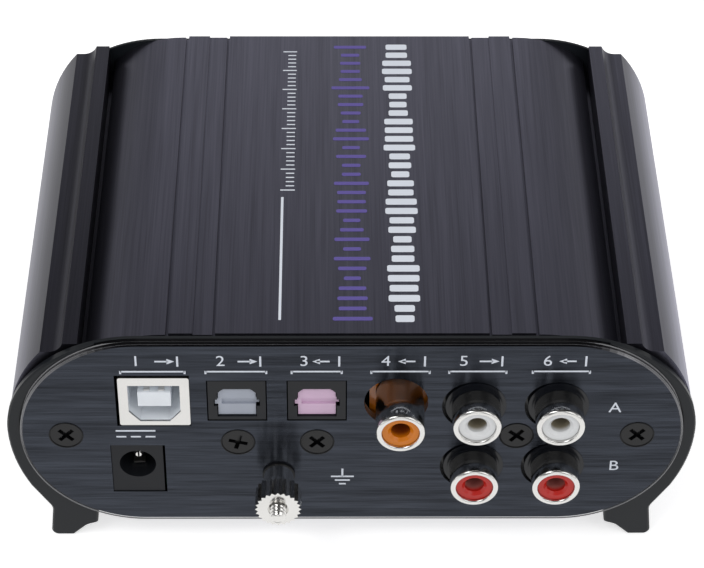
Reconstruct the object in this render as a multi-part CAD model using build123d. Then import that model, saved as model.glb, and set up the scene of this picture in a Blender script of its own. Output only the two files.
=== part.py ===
from build123d import *
from math import cos, pi, sin
import os

# Phono preamp in an extruded case. Millimetres. X across, +Y towards the connector end,
# -Y towards the control end, Z up from the surface that the feet stand on.
# Heights named *_h are measured from the centre line of the end plates.

# ---------------------------------------------------------------- enclosure
case_length = 85.3
end_half_height = 20.7          # end plates, above and below the centre line
foot_drop = 5.06                # feet below the end plates
centre_z = foot_drop + end_half_height

# extruded case, one quarter of its profile
crown_half_width = 22.97
crown_h = 20.71
strip_width = 3.79
strip_drop = 0.32
strip_score_width = 0.45        # groove beside the crown
rib_width = 4.01
score_width = 0.55
score_depth = 0.55
shoulder_drop = 0.31            # shoulder panel below the crown where it starts
shoulder_flat = 0.9             # flat run before the shoulder curves down
shoulder_end_h = 14.9
channel_x = 45.25               # deep channel between shoulder and wing
channel_width = 0.95
channel_floor_h = 12.4
wing_top_h = 18.34
wing_flat = 2.5
nose_h = 16.54
nose_start_x = 51.2
nose_half_width = 52.58
side_half_width = 58.75
side_bulge = side_half_width - nose_half_width
side_radius = (side_bulge**2 + nose_h**2) / (2 * side_bulge)
side_centre_x = side_half_width - side_radius

# inside of the case
bay_half_width = 42.2
bay_half_height = 17.4
bay_corner = 4.0
case_wall = 2.2
wing_bay_half_height = 9.8
boss_x = 49.0
boss_h = -0.16
boss_radius = 3.1
web_thickness = 2.0

# boards slide in slots of the case
board_thickness = 1.6
board_face_h = 13.8             # faces of both boards towards the centre
board_half_width = 43.3
board_clearance = 0.1

# end frames with feet
frame_depth = 2.0               # in front of the case end
frame_arc_x = 36.2
frame_bulge = 22.95
frame_chamfer = 0.3
shadow_gap = 0.6
shadow_inset = 0.8
front_base_inset = 0.95         # the control end steps in from the case
front_frame_inset = 2.05
front_plate_inset = 2.75
window_half_width = 44.3
window_half_height = 16.9
window_corner = 5.0
lip_half_width = 28.0
lip_depth = 2.5
lip_thickness = 1.2
lip_clearance = 0.15
foot_reach = 3.0                # feet run this far under the case
foot_case_gap = 0.2
foot_flank_top = (56.0, 12.26)  # foot points: X and height above the floor
foot_waist = (52.65, 6.8)
foot_toe_x = 53.35
foot_heel_x = 49.4
foot_scallop = (46.9, 2.4)
foot_spur = (44.9, 3.05)
foot_root = (44.4, 9.6)
foot_waist_radius = 2.0
foot_toe_radius = 1.2
foot_scallop_radius = 2.6
foot_spur_radius = 0.7

# end plates
plate_half_width = 56.8
plate_thickness = 1.65
plate_proud = 0.9
plate_edge = 0.35
plate_gap = 0.25
case_end = case_length / 2
plate_face = case_end + frame_depth + plate_proud
plate_back = plate_face - plate_thickness

# countersunk screws, shank drawn at its thread root
screw_head_radius = 2.85
screw_head_depth = 1.3
screw_shank_radius = 1.25
screw_gap = 0.06
screw_hole_radius = screw_shank_radius + screw_gap
cross_length = 3.3
cross_width = 0.75
cross_depth = 1.0
end_screw_length = 12.0
short_screw_length = 8.0
short_screw_spare = 1.0         # hole left beyond the tip
end_screw_turn = 45             # where each cross came to rest, in degrees
optical_screw_turns = (15, 45)
rca_screw_turn = 40

# ---------------------------------------------------------------- connector end
seat_gap = 0.05                 # behind the end plate

usb_x = 33.55
usb_h = 7.84
usb_width = 12.04
usb_height = 10.9
usb_depth = 16.0
usb_proud = 0.15
usb_sheet = 0.4
usb_mouth_width = 8.8
usb_mouth_top_h = 11.54
usb_mouth_bottom_h = 3.3
usb_mouth_floor_width = 5.04
usb_mouth_chamfer_h = 5.55
usb_mouth_depth = 10.0
usb_tongue_width = 5.6
usb_tongue_thickness = 3.18
usb_tongue_gap = 1.86
usb_tongue_recess = 0.4
usb_contact_width = 1.0
usb_contact_thickness = 0.25
usb_contact_spacing = 2.5
usb_tab_width = 1.5
usb_tab_length = 2.2
usb_tab_height = 0.25
usb_tab_spacing = 3.5
usb_cut_x = 33.78
usb_cut_width = 12.65
usb_cut_h = 7.92
usb_cut_height = 11.67

dc_x = 37.05
dc_hole_h = -7.2
dc_width = 8.9
dc_top_h = -2.75
dc_recess = 0.15
dc_depth = 13.4
dc_hole_radius = 3.15
dc_hole_depth = 9.5
dc_pin_radius = 1.0
dc_pin_recess = 2.3
dc_spring_drop = 2.55
dc_spring_thickness = 0.3
dc_spring_width = 2.0
dc_spring_recess = 3.2
dc_cut_x = 36.88
dc_cut_width = 9.4
dc_cut_h = -8.24
dc_cut_height = 11.3

optical_out_x = 19.54
optical_in_x = 5.97
optical_h = 7.92
optical_width = 9.8
optical_height = 8.9
optical_recess = 0.1
optical_depth = 13.0
optical_foot_h = -4.4
optical_cut_width = 10.2
optical_cut_height = 9.3
optical_screw_h = -1.83
port_width = 6.7
port_height = 6.4
port_h = 7.35
port_chamfer = 1.0
port_key_width = 7.8
port_key_height = 1.5
port_wall = 0.3
port_bay_width = 8.5
port_bay_depth = 7.6
port_bay_headroom = 0.5
door_gap = 0.15
door_thickness = 1.0
door_slot_height = 1.25
door_slot_depth = 0.45
door_slot_margin = 0.6
door_pin_radius = 0.35
door_pin_length = 0.55
door_pin_gap = 0.05
module_width = 7.0
module_depth = 2.5

coax_x = -8.1
coax_h = 7.54
coax_cut_x = -7.5
coax_cut_radius = 5.45
coax_width = 10.2
coax_foot_h = 2.2
coax_recess = 2.6
coax_depth = 11.0
coax_proud = 7.9

rca_x = -28.12                  # middle of the group of four
rca_pitch_x = 14.05
rca_pitch_z = 14.28
rca_h = -0.47
rca_boss_radius = 5.18
rca_cut_radius = 5.5
rca_cut_shift = 0.3
rca_step_radius = 4.5
rca_step_proud = 0.5
rca_proud = 5.7
rca_block_margin = 1.4
rca_depth = 11.5
rca_screw_x = -28.3
rca_screw_h = -0.36
jack_radius = 4.15
jack_neck_radius = 4.0          # the barrel where it is held
jack_seat_gap = 0.1             # from the seat to the full radius
jack_bore = 3.15
jack_lip = 0.3
jack_root = 7.0                 # barrels reach this far behind the plate's face
jack_gap = 0.05
insert_radius = jack_bore - jack_gap
insert_recess = 0.55
insert_hole = 1.65
insert_funnel = 0.5
contact_radius = 2.0
contact_bore = 1.45
contact_depth = 7.6             # the insert's hole ends here, just ahead of the plate

post_x = 12.65
post_h = -9.56
post_radius = 1.45
post_tip_radius = 1.05
post_proud = 10.9
post_head_radius = 2.6
post_head_thickness = 1.6
post_thread_gap = 0.08
washer_radius = 2.8
washer_thickness = 0.4
nut_collar_radius = 2.62
nut_collar_end = 4.4
nut_knurl_radius = 3.975
nut_root_radius = 3.5
nut_teeth = 24
nut_front = 8.6
nut_counterbore_radius = 1.8
nut_counterbore_depth = 0.8
lock_nut_flats = 5.5
lock_nut_thickness = 2.2
lug_thickness = 0.5
lug_radius = 3.4
lug_tail_length = 7.0
lug_tail_width = 3.0

# ---------------------------------------------------------------- control end
gain_x = 31.0
monitor_x = -20.0
knob_h = 0.0
knob_radius = 7.4
knob_waist_radius = 6.7
knob_skirt = 2.2
knob_floor_gap = 0.7
knob_proud = 10.9
knob_flutes = 14
knob_flute_radius = 1.1
knob_hollow_radius = 5.7
knob_hollow_depth = 3.6
knob_mark_width = 1.0
knob_mark_depth = 0.35
shaft_radius = 3.0
shaft_gap = 0.05
shaft_tip = 9.4
bushing_radius = 3.45
bushing_proud = 3.6
bushing_hole_gap = 0.1
pot_nut_flats = 9.0
pot_nut_thickness = 1.6
pot_width = 9.8
pot_height = 11.2
pot_bore_depth = 3.5

button_xs = (-3.0, 6.0, 15.0)
button_h = -6.0
button_size = 5.0
button_corner = 0.8
button_proud = 3.4
button_gap = 0.25
button_flange = 1.0
button_flange_thickness = 0.8
button_travel = 1.6
button_stem_radius = 1.3
button_stem_gap = 0.05
switch_size = 7.0
switch_depth = 5.0

led_h = 5.5
led_radius = 1.5
led_gap = 0.08
led_proud = 0.9
led_flange_radius = 1.9
led_flange_thickness = 1.0
led_lead = 0.5
led_lead_spacing = 1.27

phones_x = -38.0
phones_h = -1.5
phones_bore = 1.8
phones_bushing_radius = 2.95
phones_bushing_proud = 2.2
phones_nut_radius = 4.1
phones_nut_thickness = 1.5
phones_nut_notches = 4
phones_width = 8.0
phones_height = 7.0
phones_depth = 9.5
phones_hole_depth = 11.0
phones_spring_thickness = 0.3

# ---------------------------------------------------------------- inside
front_board_gap = 9.6           # from the front plate's back to the front board
front_board_half_width = 41.8
front_board_half_height = 12.2
board_setback = 0.3             # both boards end this far inside the case
upper_board_length = 38.0
lead_pitch = 2.54               # pins and legs of all parts on the boards
pin_size = 0.64
header_x = -6.0
header_y = 12.0
header_pins = 8
header_width = 5.0
header_height = 8.5
chip_length = 9.6
chip_width = 6.4
chip_height = 3.4
chip_leg = 0.5
input_chip_spacing = 12.0       # two chips, one for each channel
input_chip_y = 22.0
output_chip_y = 6.0
monitor_chip_x = 20.0
monitor_chip_y = -12.0
capacitor_radius = 3.15
capacitor_height = 11.0
supply_can_x = 26.0
supply_can_y = 24.0
signal_can_x = -14.0
signal_can_y = -8.0
can_spacing = 10.0
cans_in_row = 3
converter_size = 10.0
converter_height = 1.4
regulator_x = 36.0
regulator_y = 2.0
regulator_width = 10.0
regulator_thickness = 4.5
regulator_height = 15.0
regulator_body_share = 0.6      # of the height, the rest is bare tab
tab_thickness = 1.3
solder_gap = 0.02


# ---------------------------------------------------------------- helpers
def rod(x, h, radius, y0, y1):
    """Cylinder along Y, h above the centre line."""
    centre = (Align.CENTER, Align.CENTER, Align.MIN)
    return Pos(x, y0, centre_z + h) * Rot(-90, 0, 0) * Cylinder(radius, y1 - y0, align=centre)


def block(x, h, width, height, y0, y1):
    """Box centred on x and h, from y0 to y1."""
    return Pos(x, (y0 + y1) / 2, centre_z + h) * Box(width, y1 - y0, height)


def slab(outline, y0, y1):
    """Outline drawn in X and h, made solid from y0 to y1."""
    return Pos(0, y1, centre_z) * extrude(Plane.XZ * outline, y1 - y0)


def turned(points, x, h):
    """Closed profile of (radius, y) points turned about the Y line through x and h."""
    return Pos(x, 0, centre_z + h) * revolve(make_face(Polyline(*points, close=True)), Axis.Y)


def hexagon(x, h, flats, y0, y1):
    return slab(Pos(x, h) * RegularPolygon(flats / 2, 6, major_radius=False), y0, y1)


def at_front(shape):
    """Turns a piece made for the connector end round to the control end."""
    return Rot(0, 0, 180) * shape


def front_rim(shape):
    """Outer edges of the face that looks along +Y."""
    return shape.faces().sort_by(Axis.Y)[-1].outer_wire().edges()


def group(shapes):
    return Compound(children=list(shapes))


# ---------------------------------------------------------------- extruded case
def case_outline():
    strip_x = crown_half_width + strip_width
    rib_end = strip_x + rib_width
    score_end = rib_end + score_width
    shoulder_h = crown_h - shoulder_drop
    shoulder_start = score_end + shoulder_flat
    wing_x = channel_x + channel_width
    strip_h = crown_h - strip_drop
    strip_start = crown_half_width + strip_score_width
    crown = Polyline(
        (0, 0),
        (0, crown_h),
        (crown_half_width, crown_h),
        (crown_half_width, strip_h - score_depth),
        (strip_start, strip_h - score_depth),
        (strip_start, strip_h),
        (strip_x, strip_h),
        (strip_x, crown_h),
        (rib_end, crown_h),
        (rib_end, shoulder_h - score_depth),
        (score_end, shoulder_h - score_depth),
        (score_end, shoulder_h),
        (shoulder_start, shoulder_h),
    )
    shoulder = TangentArc((shoulder_start, shoulder_h), (channel_x, shoulder_end_h), tangent=(1, 0))
    channel = Polyline(
        (channel_x, shoulder_end_h),
        (channel_x, channel_floor_h),
        (wing_x, channel_floor_h),
        (wing_x, wing_top_h),
        (wing_x + wing_flat, wing_top_h),
    )
    cove = TangentArc((nose_start_x, nose_h), (wing_x + wing_flat, wing_top_h), tangent=(-1, 0))
    nose = Line((nose_start_x, nose_h), (nose_half_width, nose_h))
    side = TangentArc((side_half_width, 0), (nose_half_width, nose_h), tangent=(0, 1))
    middle = Line((side_half_width, 0), (0, 0))
    quarter = make_face(crown + shoulder + channel + cove + nose + side + middle)
    half = quarter + mirror(quarter, about=Plane.YZ)
    return half + mirror(half, about=Plane.XZ)


def slot_outline():
    """Slots in the bay's walls that hold the edges of both boards."""
    slot_h = board_face_h + board_thickness / 2
    width = 2 * (board_half_width + board_clearance)
    slot = Rectangle(width, board_thickness + 2 * board_clearance)
    return Pos(0, slot_h) * slot + Pos(0, -slot_h) * slot


def case_shell():
    bay = RectangleRounded(2 * bay_half_width, 2 * bay_half_height, bay_corner)
    bay += slot_outline()
    wing_width = side_half_width - bay_half_width
    band_x = bay_half_width + wing_width / 2 - case_wall / 2
    for side in (-1, 1):
        wing = Pos(side * side_centre_x, 0) * Circle(side_radius - case_wall)
        wing &= Pos(side * band_x, 0) * Rectangle(wing_width + case_wall, 2 * wing_bay_half_height)
        wing -= Pos(side * boss_x, boss_h) * Circle(boss_radius)
        wing -= Pos(side * (boss_x + wing_width / 2), boss_h) * Rectangle(wing_width, web_thickness)
        bay += wing
    section = case_outline() - bay
    for side in (-1, 1):
        section -= Pos(side * boss_x, boss_h) * Circle(screw_hole_radius)
    return slab(section, -case_end, case_end)


# ---------------------------------------------------------------- end frames
def frame_outline(inset=0.0):
    height = end_half_height - inset
    outline = Rectangle(2 * frame_arc_x, 2 * height)
    for side in (-1, 1):
        outline += Pos(side * frame_arc_x, 0) * Ellipse(frame_bulge - inset, height)
    return outline


def foot_outline(side, inset=0.0):
    """Lower corner of the frame with its scalloped foot, heights above the floor."""
    widest = (frame_arc_x + frame_bulge - inset, centre_z)
    flank = TangentArc(widest, foot_flank_top, tangent=(0, -1))
    sole = Polyline(
        foot_flank_top,
        foot_waist,
        (foot_toe_x, 0),
        (foot_heel_x, 0),
        foot_scallop,
        foot_spur,
        foot_root,
        (foot_root[0], centre_z),
        widest,
    )
    face = make_face(flank + sole)
    rounds = (
        (foot_waist, foot_waist_radius),
        ((foot_toe_x, 0), foot_toe_radius),
        (foot_scallop, foot_scallop_radius),
        (foot_spur, foot_spur_radius),
    )
    for point, radius in rounds:
        corner = face.vertices().sort_by_distance((*point, 0))[0]
        face = fillet(corner, radius)
    face = Pos(0, -centre_z) * face
    return face if side > 0 else mirror(face, about=Plane.YZ)


def plate_outline(inset=0.0):
    return SlotOverall(2 * (plate_half_width - inset), 2 * (end_half_height - inset))


def end_frame(base_inset, frame_inset, plate_inset):
    """Moulded frame between case and end plate, with its two feet."""
    front = case_end + frame_depth
    outline = frame_outline(frame_inset)
    for side in (-1, 1):
        outline += foot_outline(side, frame_inset)
    frame = slab(outline, case_end + shadow_gap, front)
    frame = chamfer(front_rim(frame), frame_chamfer)
    frame += slab(frame_outline(base_inset), case_end, case_end + shadow_gap)
    window = RectangleRounded(2 * window_half_width, 2 * window_half_height, window_corner)
    frame -= slab(window, case_end, front)
    frame -= slab(plate_outline(plate_inset - plate_gap), plate_back, front)
    heel_start = case_end - foot_reach
    case_room = slab(offset(case_outline(), foot_case_gap), heel_start, case_end)
    heel_box = Pos(0, foot_root[1] / 2 - centre_z) * Rectangle(2 * foot_toe_x, foot_root[1])
    for side in (-1, 1):
        heel = slab(foot_outline(side) & heel_box, heel_start, case_end + shadow_gap)
        frame += heel - case_room
        frame -= rod(side * boss_x, boss_h, screw_hole_radius + screw_gap, case_end, front)
    for level in (-1, 1):
        lip_h = level * (bay_half_height - lip_clearance - lip_thickness / 2)
        frame += block(0, lip_h, 2 * lip_half_width, lip_thickness, case_end - lip_depth, plate_back)
    return frame


# ---------------------------------------------------------------- end plates and screws
def blank_plate(inset=0.0):
    blank = slab(plate_outline(inset), plate_back, plate_face)
    return chamfer(front_rim(blank), plate_edge)


def screw_seat(x, h):
    """Countersunk hole through an end plate."""
    rim = screw_head_radius + screw_gap
    small = screw_hole_radius + screw_gap
    depth = screw_head_depth
    points = (
        (0, plate_face),
        (rim, plate_face),
        (small, plate_face - depth),
        (small, plate_back),
        (0, plate_back),
    )
    return turned(points, x, h)


def countersunk_screw(x, h, length, turn):
    """Cross-head screw flush with the end plate."""
    tip = plate_face - length
    points = (
        (0, plate_face),
        (screw_head_radius, plate_face),
        (screw_shank_radius, plate_face - screw_head_depth),
        (screw_shank_radius, tip + screw_shank_radius),
        (screw_shank_radius / 2, tip),
        (0, tip),
    )
    screw = turned(points, x, h)
    floor = plate_face - cross_depth
    for angle in (turn, turn + 90):
        arm = Rectangle(cross_length, cross_width)
        screw -= slab(Pos(x, h) * Rot(0, 0, angle) * arm, floor, plate_face)
    return screw


def rear_plate():
    plate = blank_plate()
    cuts = (
        (usb_cut_x, usb_cut_h, usb_cut_width, usb_cut_height),
        (dc_cut_x, dc_cut_h, dc_cut_width, dc_cut_height),
        (optical_out_x, optical_h, optical_cut_width, optical_cut_height),
        (optical_in_x, optical_h, optical_cut_width, optical_cut_height),
    )
    for x, h, width, height in cuts:
        plate -= block(x, h, width, height, plate_back, plate_face)
    plate -= rod(coax_cut_x, coax_h, coax_cut_radius, plate_back, plate_face)
    for x, h in rca_places():
        plate -= rod(x + rca_cut_shift, h, rca_cut_radius, plate_back, plate_face)
    plate -= rod(post_x, post_h, post_radius + post_thread_gap, plate_back, plate_face)
    for x, h in ((-boss_x, boss_h), (boss_x, boss_h)):
        plate -= screw_seat(x, h)
    for x in (optical_out_x, optical_in_x):
        plate -= screw_seat(x, optical_screw_h)
    return plate - screw_seat(rca_screw_x, rca_screw_h)


def front_plate():
    """Made for the connector end and turned round, so X is negated here."""
    plate = blank_plate(front_plate_inset)
    for x in (gain_x, monitor_x):
        plate -= rod(-x, knob_h, bushing_radius + bushing_hole_gap, plate_back, plate_face)
    opening = button_size + 2 * button_gap
    for x in button_xs:
        cut = Pos(-x, button_h) * RectangleRounded(opening, opening, button_corner)
        plate -= slab(cut, plate_back, plate_face)
        plate -= rod(-x, led_h, led_radius + led_gap, plate_back, plate_face)
    plate -= rod(-phones_x, phones_h, phones_bushing_radius + bushing_hole_gap, plate_back, plate_face)
    for side in (-1, 1):
        plate -= screw_seat(side * boss_x, boss_h)
    return at_front(plate)


# ---------------------------------------------------------------- USB socket
def usb_mouth():
    """Opening with two cut corners below."""
    half = usb_mouth_width / 2
    floor = usb_mouth_floor_width / 2
    points = (
        (-half, usb_mouth_top_h),
        (half, usb_mouth_top_h),
        (half, usb_mouth_chamfer_h),
        (floor, usb_mouth_bottom_h),
        (-floor, usb_mouth_bottom_h),
        (-half, usb_mouth_chamfer_h),
    )
    return Pos(usb_x, 0) * make_face(Polyline(*points, close=True))


def usb_socket():
    face = plate_face + usb_proud
    back = face - usb_depth
    core_width = usb_width - 2 * usb_sheet
    core_height = usb_height - 2 * usb_sheet
    shell = block(usb_x, usb_h, usb_width, usb_height, back, face)
    shell = fillet(shell.edges().filter_by(Axis.Y), usb_sheet)
    shell -= block(usb_x, usb_h, core_width, core_height, back, face - usb_sheet)
    shell -= slab(usb_mouth(), face - usb_sheet, face)
    top = usb_h + usb_height / 2
    for side in (-1, 1):
        tab_y = face - 2 * usb_tab_length
        tab_x = usb_x + side * usb_tab_spacing / 2
        tab_h = top + usb_tab_height / 2
        shell += block(tab_x, tab_h, usb_tab_width, usb_tab_height, tab_y, tab_y + usb_tab_length)
        leg_x = usb_x + side * (usb_width - usb_sheet) / 2
        leg_height = board_face_h - top + usb_sheet
        leg_h = board_face_h - leg_height / 2
        shell += block(leg_x, leg_h, usb_sheet, leg_height, back + usb_sheet, back + usb_tab_length)
    room = solder_gap
    core = block(usb_x, usb_h, core_width - room, core_height - room, back, face - usb_sheet - room)
    core -= slab(usb_mouth(), face - usb_mouth_depth, face)
    tongue_h = usb_mouth_top_h - usb_tongue_gap - usb_tongue_thickness / 2
    root = face - usb_mouth_depth
    tip = face - usb_tongue_recess
    core += block(usb_x, tongue_h, usb_tongue_width, usb_tongue_thickness, root, tip)
    contacts = []
    for level in (-1, 1):
        strip_h = tongue_h + level * (usb_tongue_thickness + usb_contact_thickness + room) / 2
        for side in (-1, 1):
            x = usb_x + side * usb_contact_spacing / 2
            strip = (usb_contact_width, usb_contact_thickness)
            contacts.append(block(x, strip_h, *strip, root + room, tip - usb_sheet))
    return {"usb_shell": shell, "usb_insulator": core, "usb_contacts": group(contacts)}


# ---------------------------------------------------------------- power socket
def power_socket():
    face = plate_face - dc_recess
    back = face - dc_depth
    height = dc_top_h + board_face_h
    body = block(dc_x, dc_top_h - height / 2, dc_width, height, back, face)
    body -= rod(dc_x, dc_hole_h, dc_hole_radius, face - dc_hole_depth, face)
    body -= rod(dc_x, dc_hole_h, dc_pin_radius + screw_gap, back, face)
    spring_h = dc_hole_h - dc_spring_drop - dc_spring_thickness / 2
    slot = (dc_spring_width + 2 * screw_gap, dc_spring_thickness + 2 * screw_gap)
    body -= block(dc_x, spring_h, *slot, back, face - dc_hole_depth)
    pin = rod(dc_x, dc_hole_h, dc_pin_radius, back, face - dc_pin_recess)
    tip = pin.edges().filter_by(GeomType.CIRCLE).sort_by(Axis.Y)[-1]
    pin = chamfer(tip, dc_pin_radius / 2)
    slit_floor = face - dc_pin_recess - 3 * dc_pin_radius
    pin -= block(dc_x, dc_hole_h, dc_spring_thickness, 2 * dc_pin_radius, slit_floor, face)
    spring = block(dc_x, spring_h, dc_spring_width, dc_spring_thickness, back, face - dc_spring_recess)
    return {"dc_jack_body": body, "dc_jack_pin": pin, "dc_jack_spring": spring}


# ---------------------------------------------------------------- optical sockets
def port_outline(shrink=0.0):
    """Socket shape with two cut upper corners and a key each side."""
    width = port_width - 2 * shrink
    height = port_height - 2 * shrink
    outline = Rectangle(width, height)
    corner = chamfer(outline.vertices().group_by(Axis.Y)[-1], port_chamfer - shrink / 2)
    keys = Rectangle(port_key_width - 2 * shrink, port_key_height - 2 * shrink)
    return corner + keys


def hinge_place():
    """Height and depth of the shutter's hinge line."""
    top = port_h + port_height / 2 - door_gap
    return top - door_thickness / 2, plate_face - optical_recess - port_wall - door_gap - door_thickness / 2


def optical_body(x):
    face = plate_face - optical_recess
    back = face - optical_depth
    rear = plate_back - seat_gap
    body_height = board_face_h - optical_foot_h
    body = block(x, board_face_h - body_height / 2, optical_width, body_height, back, rear)
    body += block(x, optical_h, optical_width, optical_height, rear, face)
    bay_top = port_h + port_height / 2 + port_bay_headroom
    bay_bottom = port_h - port_height / 2
    bay_front = face - port_wall
    bay_h = (bay_top + bay_bottom) / 2
    bay_size = (port_bay_width, bay_top - bay_bottom)
    body -= block(x, bay_h, *bay_size, bay_front - port_bay_depth, bay_front)
    body -= slab(Pos(x, port_h) * port_outline(), bay_front, face)
    hinge_h, hinge_y = hinge_place()
    pin_reach = port_bay_width / 2 + door_pin_length
    body -= hinge_rod(x, hinge_h, hinge_y, door_pin_radius + door_pin_gap, pin_reach)
    hole_depth = short_screw_length
    return body - rod(x, optical_screw_h, screw_hole_radius, plate_face - hole_depth, plate_face)


def hinge_rod(x, h, y, radius, reach):
    """Cylinder along X, centred on x."""
    return Pos(x, y, centre_z + h) * Rot(0, 90, 0) * Cylinder(radius, 2 * reach)


def optical_door(x):
    hinge_h, hinge_y = hinge_place()
    back = hinge_y - door_thickness / 2
    front = hinge_y + door_thickness / 2
    door = slab(Pos(x, port_h) * port_outline(door_gap), back, front)
    upper = block(x, hinge_h + door_thickness / 2, port_key_width, door_thickness, back, front)
    knuckle = hinge_rod(x, hinge_h, hinge_y, door_thickness / 2, port_width / 2 - port_chamfer)
    door = door - upper + knuckle
    slot_left = x - port_key_width / 2
    slot_right = x + port_width / 2 - door_gap - door_slot_margin
    slot_x = (slot_left + slot_right) / 2
    slot = (slot_right - slot_left, door_slot_height)
    door -= block(slot_x, port_h, *slot, front - door_slot_depth, front)
    pin_reach = port_bay_width / 2 + door_pin_length - door_pin_gap
    return door + hinge_rod(x, hinge_h, hinge_y, door_pin_radius, pin_reach)


def optical_modules():
    """Emitter and receiver behind the sockets."""
    back = plate_face - optical_recess - optical_depth - solder_gap
    modules = []
    for x in (optical_out_x, optical_in_x):
        height = board_face_h - optical_h + module_width / 2 - solder_gap
        module_h = board_face_h - solder_gap - height / 2
        modules.append(block(x, module_h, module_width, height, back - module_depth, back))
    return group(modules)


# ---------------------------------------------------------------- phono sockets
def rca_places():
    columns = (-rca_pitch_x / 2, rca_pitch_x / 2)
    rows = (rca_pitch_z / 2, -rca_pitch_z / 2)
    return [(rca_x + column, rca_h + row) for row in rows for column in columns]


def jack_barrel(x, h, seat, proud):
    """Threadless barrel with a slimmer neck behind its seat."""
    front = plate_face + proud
    root = plate_face - jack_root
    shoulder = plate_face + seat + jack_seat_gap
    points = (
        (jack_bore, root),
        (jack_neck_radius, root),
        (jack_neck_radius, shoulder),
        (jack_radius, shoulder),
        (jack_radius, front),
        (jack_bore, front),
    )
    barrel = turned(points, x, h)
    rim = barrel.edges().filter_by(GeomType.CIRCLE).group_by(Axis.Y)[-1]
    return chamfer(rim, jack_lip)


def jack_insert(x, h, proud):
    front = plate_face + proud - insert_recess
    root = plate_face - jack_root
    neck = root + contact_depth
    points = (
        (contact_radius + jack_gap, root),
        (insert_radius, root),
        (insert_radius, front),
        (insert_hole + insert_funnel, front),
        (insert_hole, front - insert_funnel),
        (insert_hole, neck),
        (contact_radius + jack_gap, neck),
    )
    return turned(points, x, h)


def jack_contact(x, h):
    """Sleeve that grips the pin behind the insert's hole."""
    root = plate_face - jack_root
    tip = root + contact_depth - jack_gap
    points = ((contact_bore, root), (contact_radius, root), (contact_radius, tip), (contact_bore, tip))
    return turned(points, x, h)


def phono_group():
    """Four sockets in one block that stands on the lower board."""
    front = plate_back - seat_gap
    back = front - rca_depth
    width = rca_pitch_x + 2 * (rca_boss_radius + rca_block_margin)
    top = rca_h + rca_pitch_z / 2 + rca_boss_radius
    height = top + board_face_h
    body = block(rca_x, top - height / 2, width, height, back, front)
    root = plate_face - jack_root
    for x, h in rca_places():
        body += rod(x, h, rca_boss_radius, front, plate_face)
        body += rod(x, h, rca_step_radius, plate_face, plate_face + rca_step_proud)
        body -= rod(x, h, jack_neck_radius + jack_gap, root, plate_face + rca_step_proud)
    body -= rod(rca_screw_x, rca_screw_h, screw_hole_radius, plate_face - short_screw_length, front)
    places = rca_places()
    return {
        "rca_block_body": body,
        "rca_barrels": group(jack_barrel(x, h, rca_step_proud, rca_proud) for x, h in places),
        "rca_inserts_white": group(jack_insert(x, h, rca_proud) for x, h in places[:2]),
        "rca_inserts_red": group(jack_insert(x, h, rca_proud) for x, h in places[2:]),
        "rca_contacts": group(jack_contact(x, h) for x, h in places),
    }


def coax_socket():
    front = plate_face - coax_recess
    back = front - coax_depth
    height = board_face_h - coax_foot_h
    body = block(coax_x, board_face_h - height / 2, coax_width, height, back, front)
    body -= rod(coax_x, coax_h, jack_neck_radius + jack_gap, plate_face - jack_root, front)
    return {
        "coax_body": body,
        "coax_barrel": jack_barrel(coax_x, coax_h, 0, coax_proud),
        "coax_insert": jack_insert(coax_x, coax_h, coax_proud),
        "coax_contact": jack_contact(coax_x, coax_h),
    }


# ---------------------------------------------------------------- ground post
def thumb_nut():
    """Knurled nut with a plain collar towards the plate."""
    start = plate_face + washer_thickness
    collar_end = plate_face + nut_collar_end
    front = plate_face + nut_front
    nut = rod(post_x, post_h, nut_collar_radius, start, collar_end)
    points = []
    for tooth in range(nut_teeth):
        for half, radius in ((0, nut_knurl_radius), (0.5, nut_root_radius)):
            angle = 2 * pi * (tooth + half) / nut_teeth
            points.append((post_x + radius * cos(angle), post_h + radius * sin(angle)))
    nut += slab(make_face(Polyline(*points, close=True)), collar_end, front)
    nut -= rod(post_x, post_h, post_radius + post_thread_gap, start, front)
    return nut - rod(post_x, post_h, nut_counterbore_radius, front - nut_counterbore_depth, front)


def ground_post():
    tip = plate_face + post_proud
    lug_front = plate_back
    nut_front_y = lug_front - lug_thickness
    nut_back_y = nut_front_y - lock_nut_thickness
    end = nut_back_y - post_head_thickness
    taper = post_radius - post_tip_radius
    points = (
        (0, end),
        (post_head_radius, end),
        (post_head_radius, nut_back_y),
        (post_radius, nut_back_y),
        (post_radius, tip - 2 * taper),
        (post_tip_radius, tip),
        (0, tip),
    )
    hole = rod(post_x, post_h, post_radius + post_thread_gap, end, tip)
    washer = rod(post_x, post_h, washer_radius, plate_face, plate_face + washer_thickness)
    lug = Pos(post_x, post_h) * Circle(lug_radius)
    lug += Pos(post_x + lug_tail_length / 2, post_h) * Rectangle(lug_tail_length, lug_tail_width)
    return {
        "ground_stud": turned(points, post_x, post_h),
        "ground_washer": washer - hole,
        "ground_nut": thumb_nut(),
        "ground_lug": slab(lug, nut_front_y, lug_front) - hole,
        "ground_lock_nut": hexagon(post_x, post_h, lock_nut_flats, nut_back_y, nut_front_y) - hole,
    }


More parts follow.
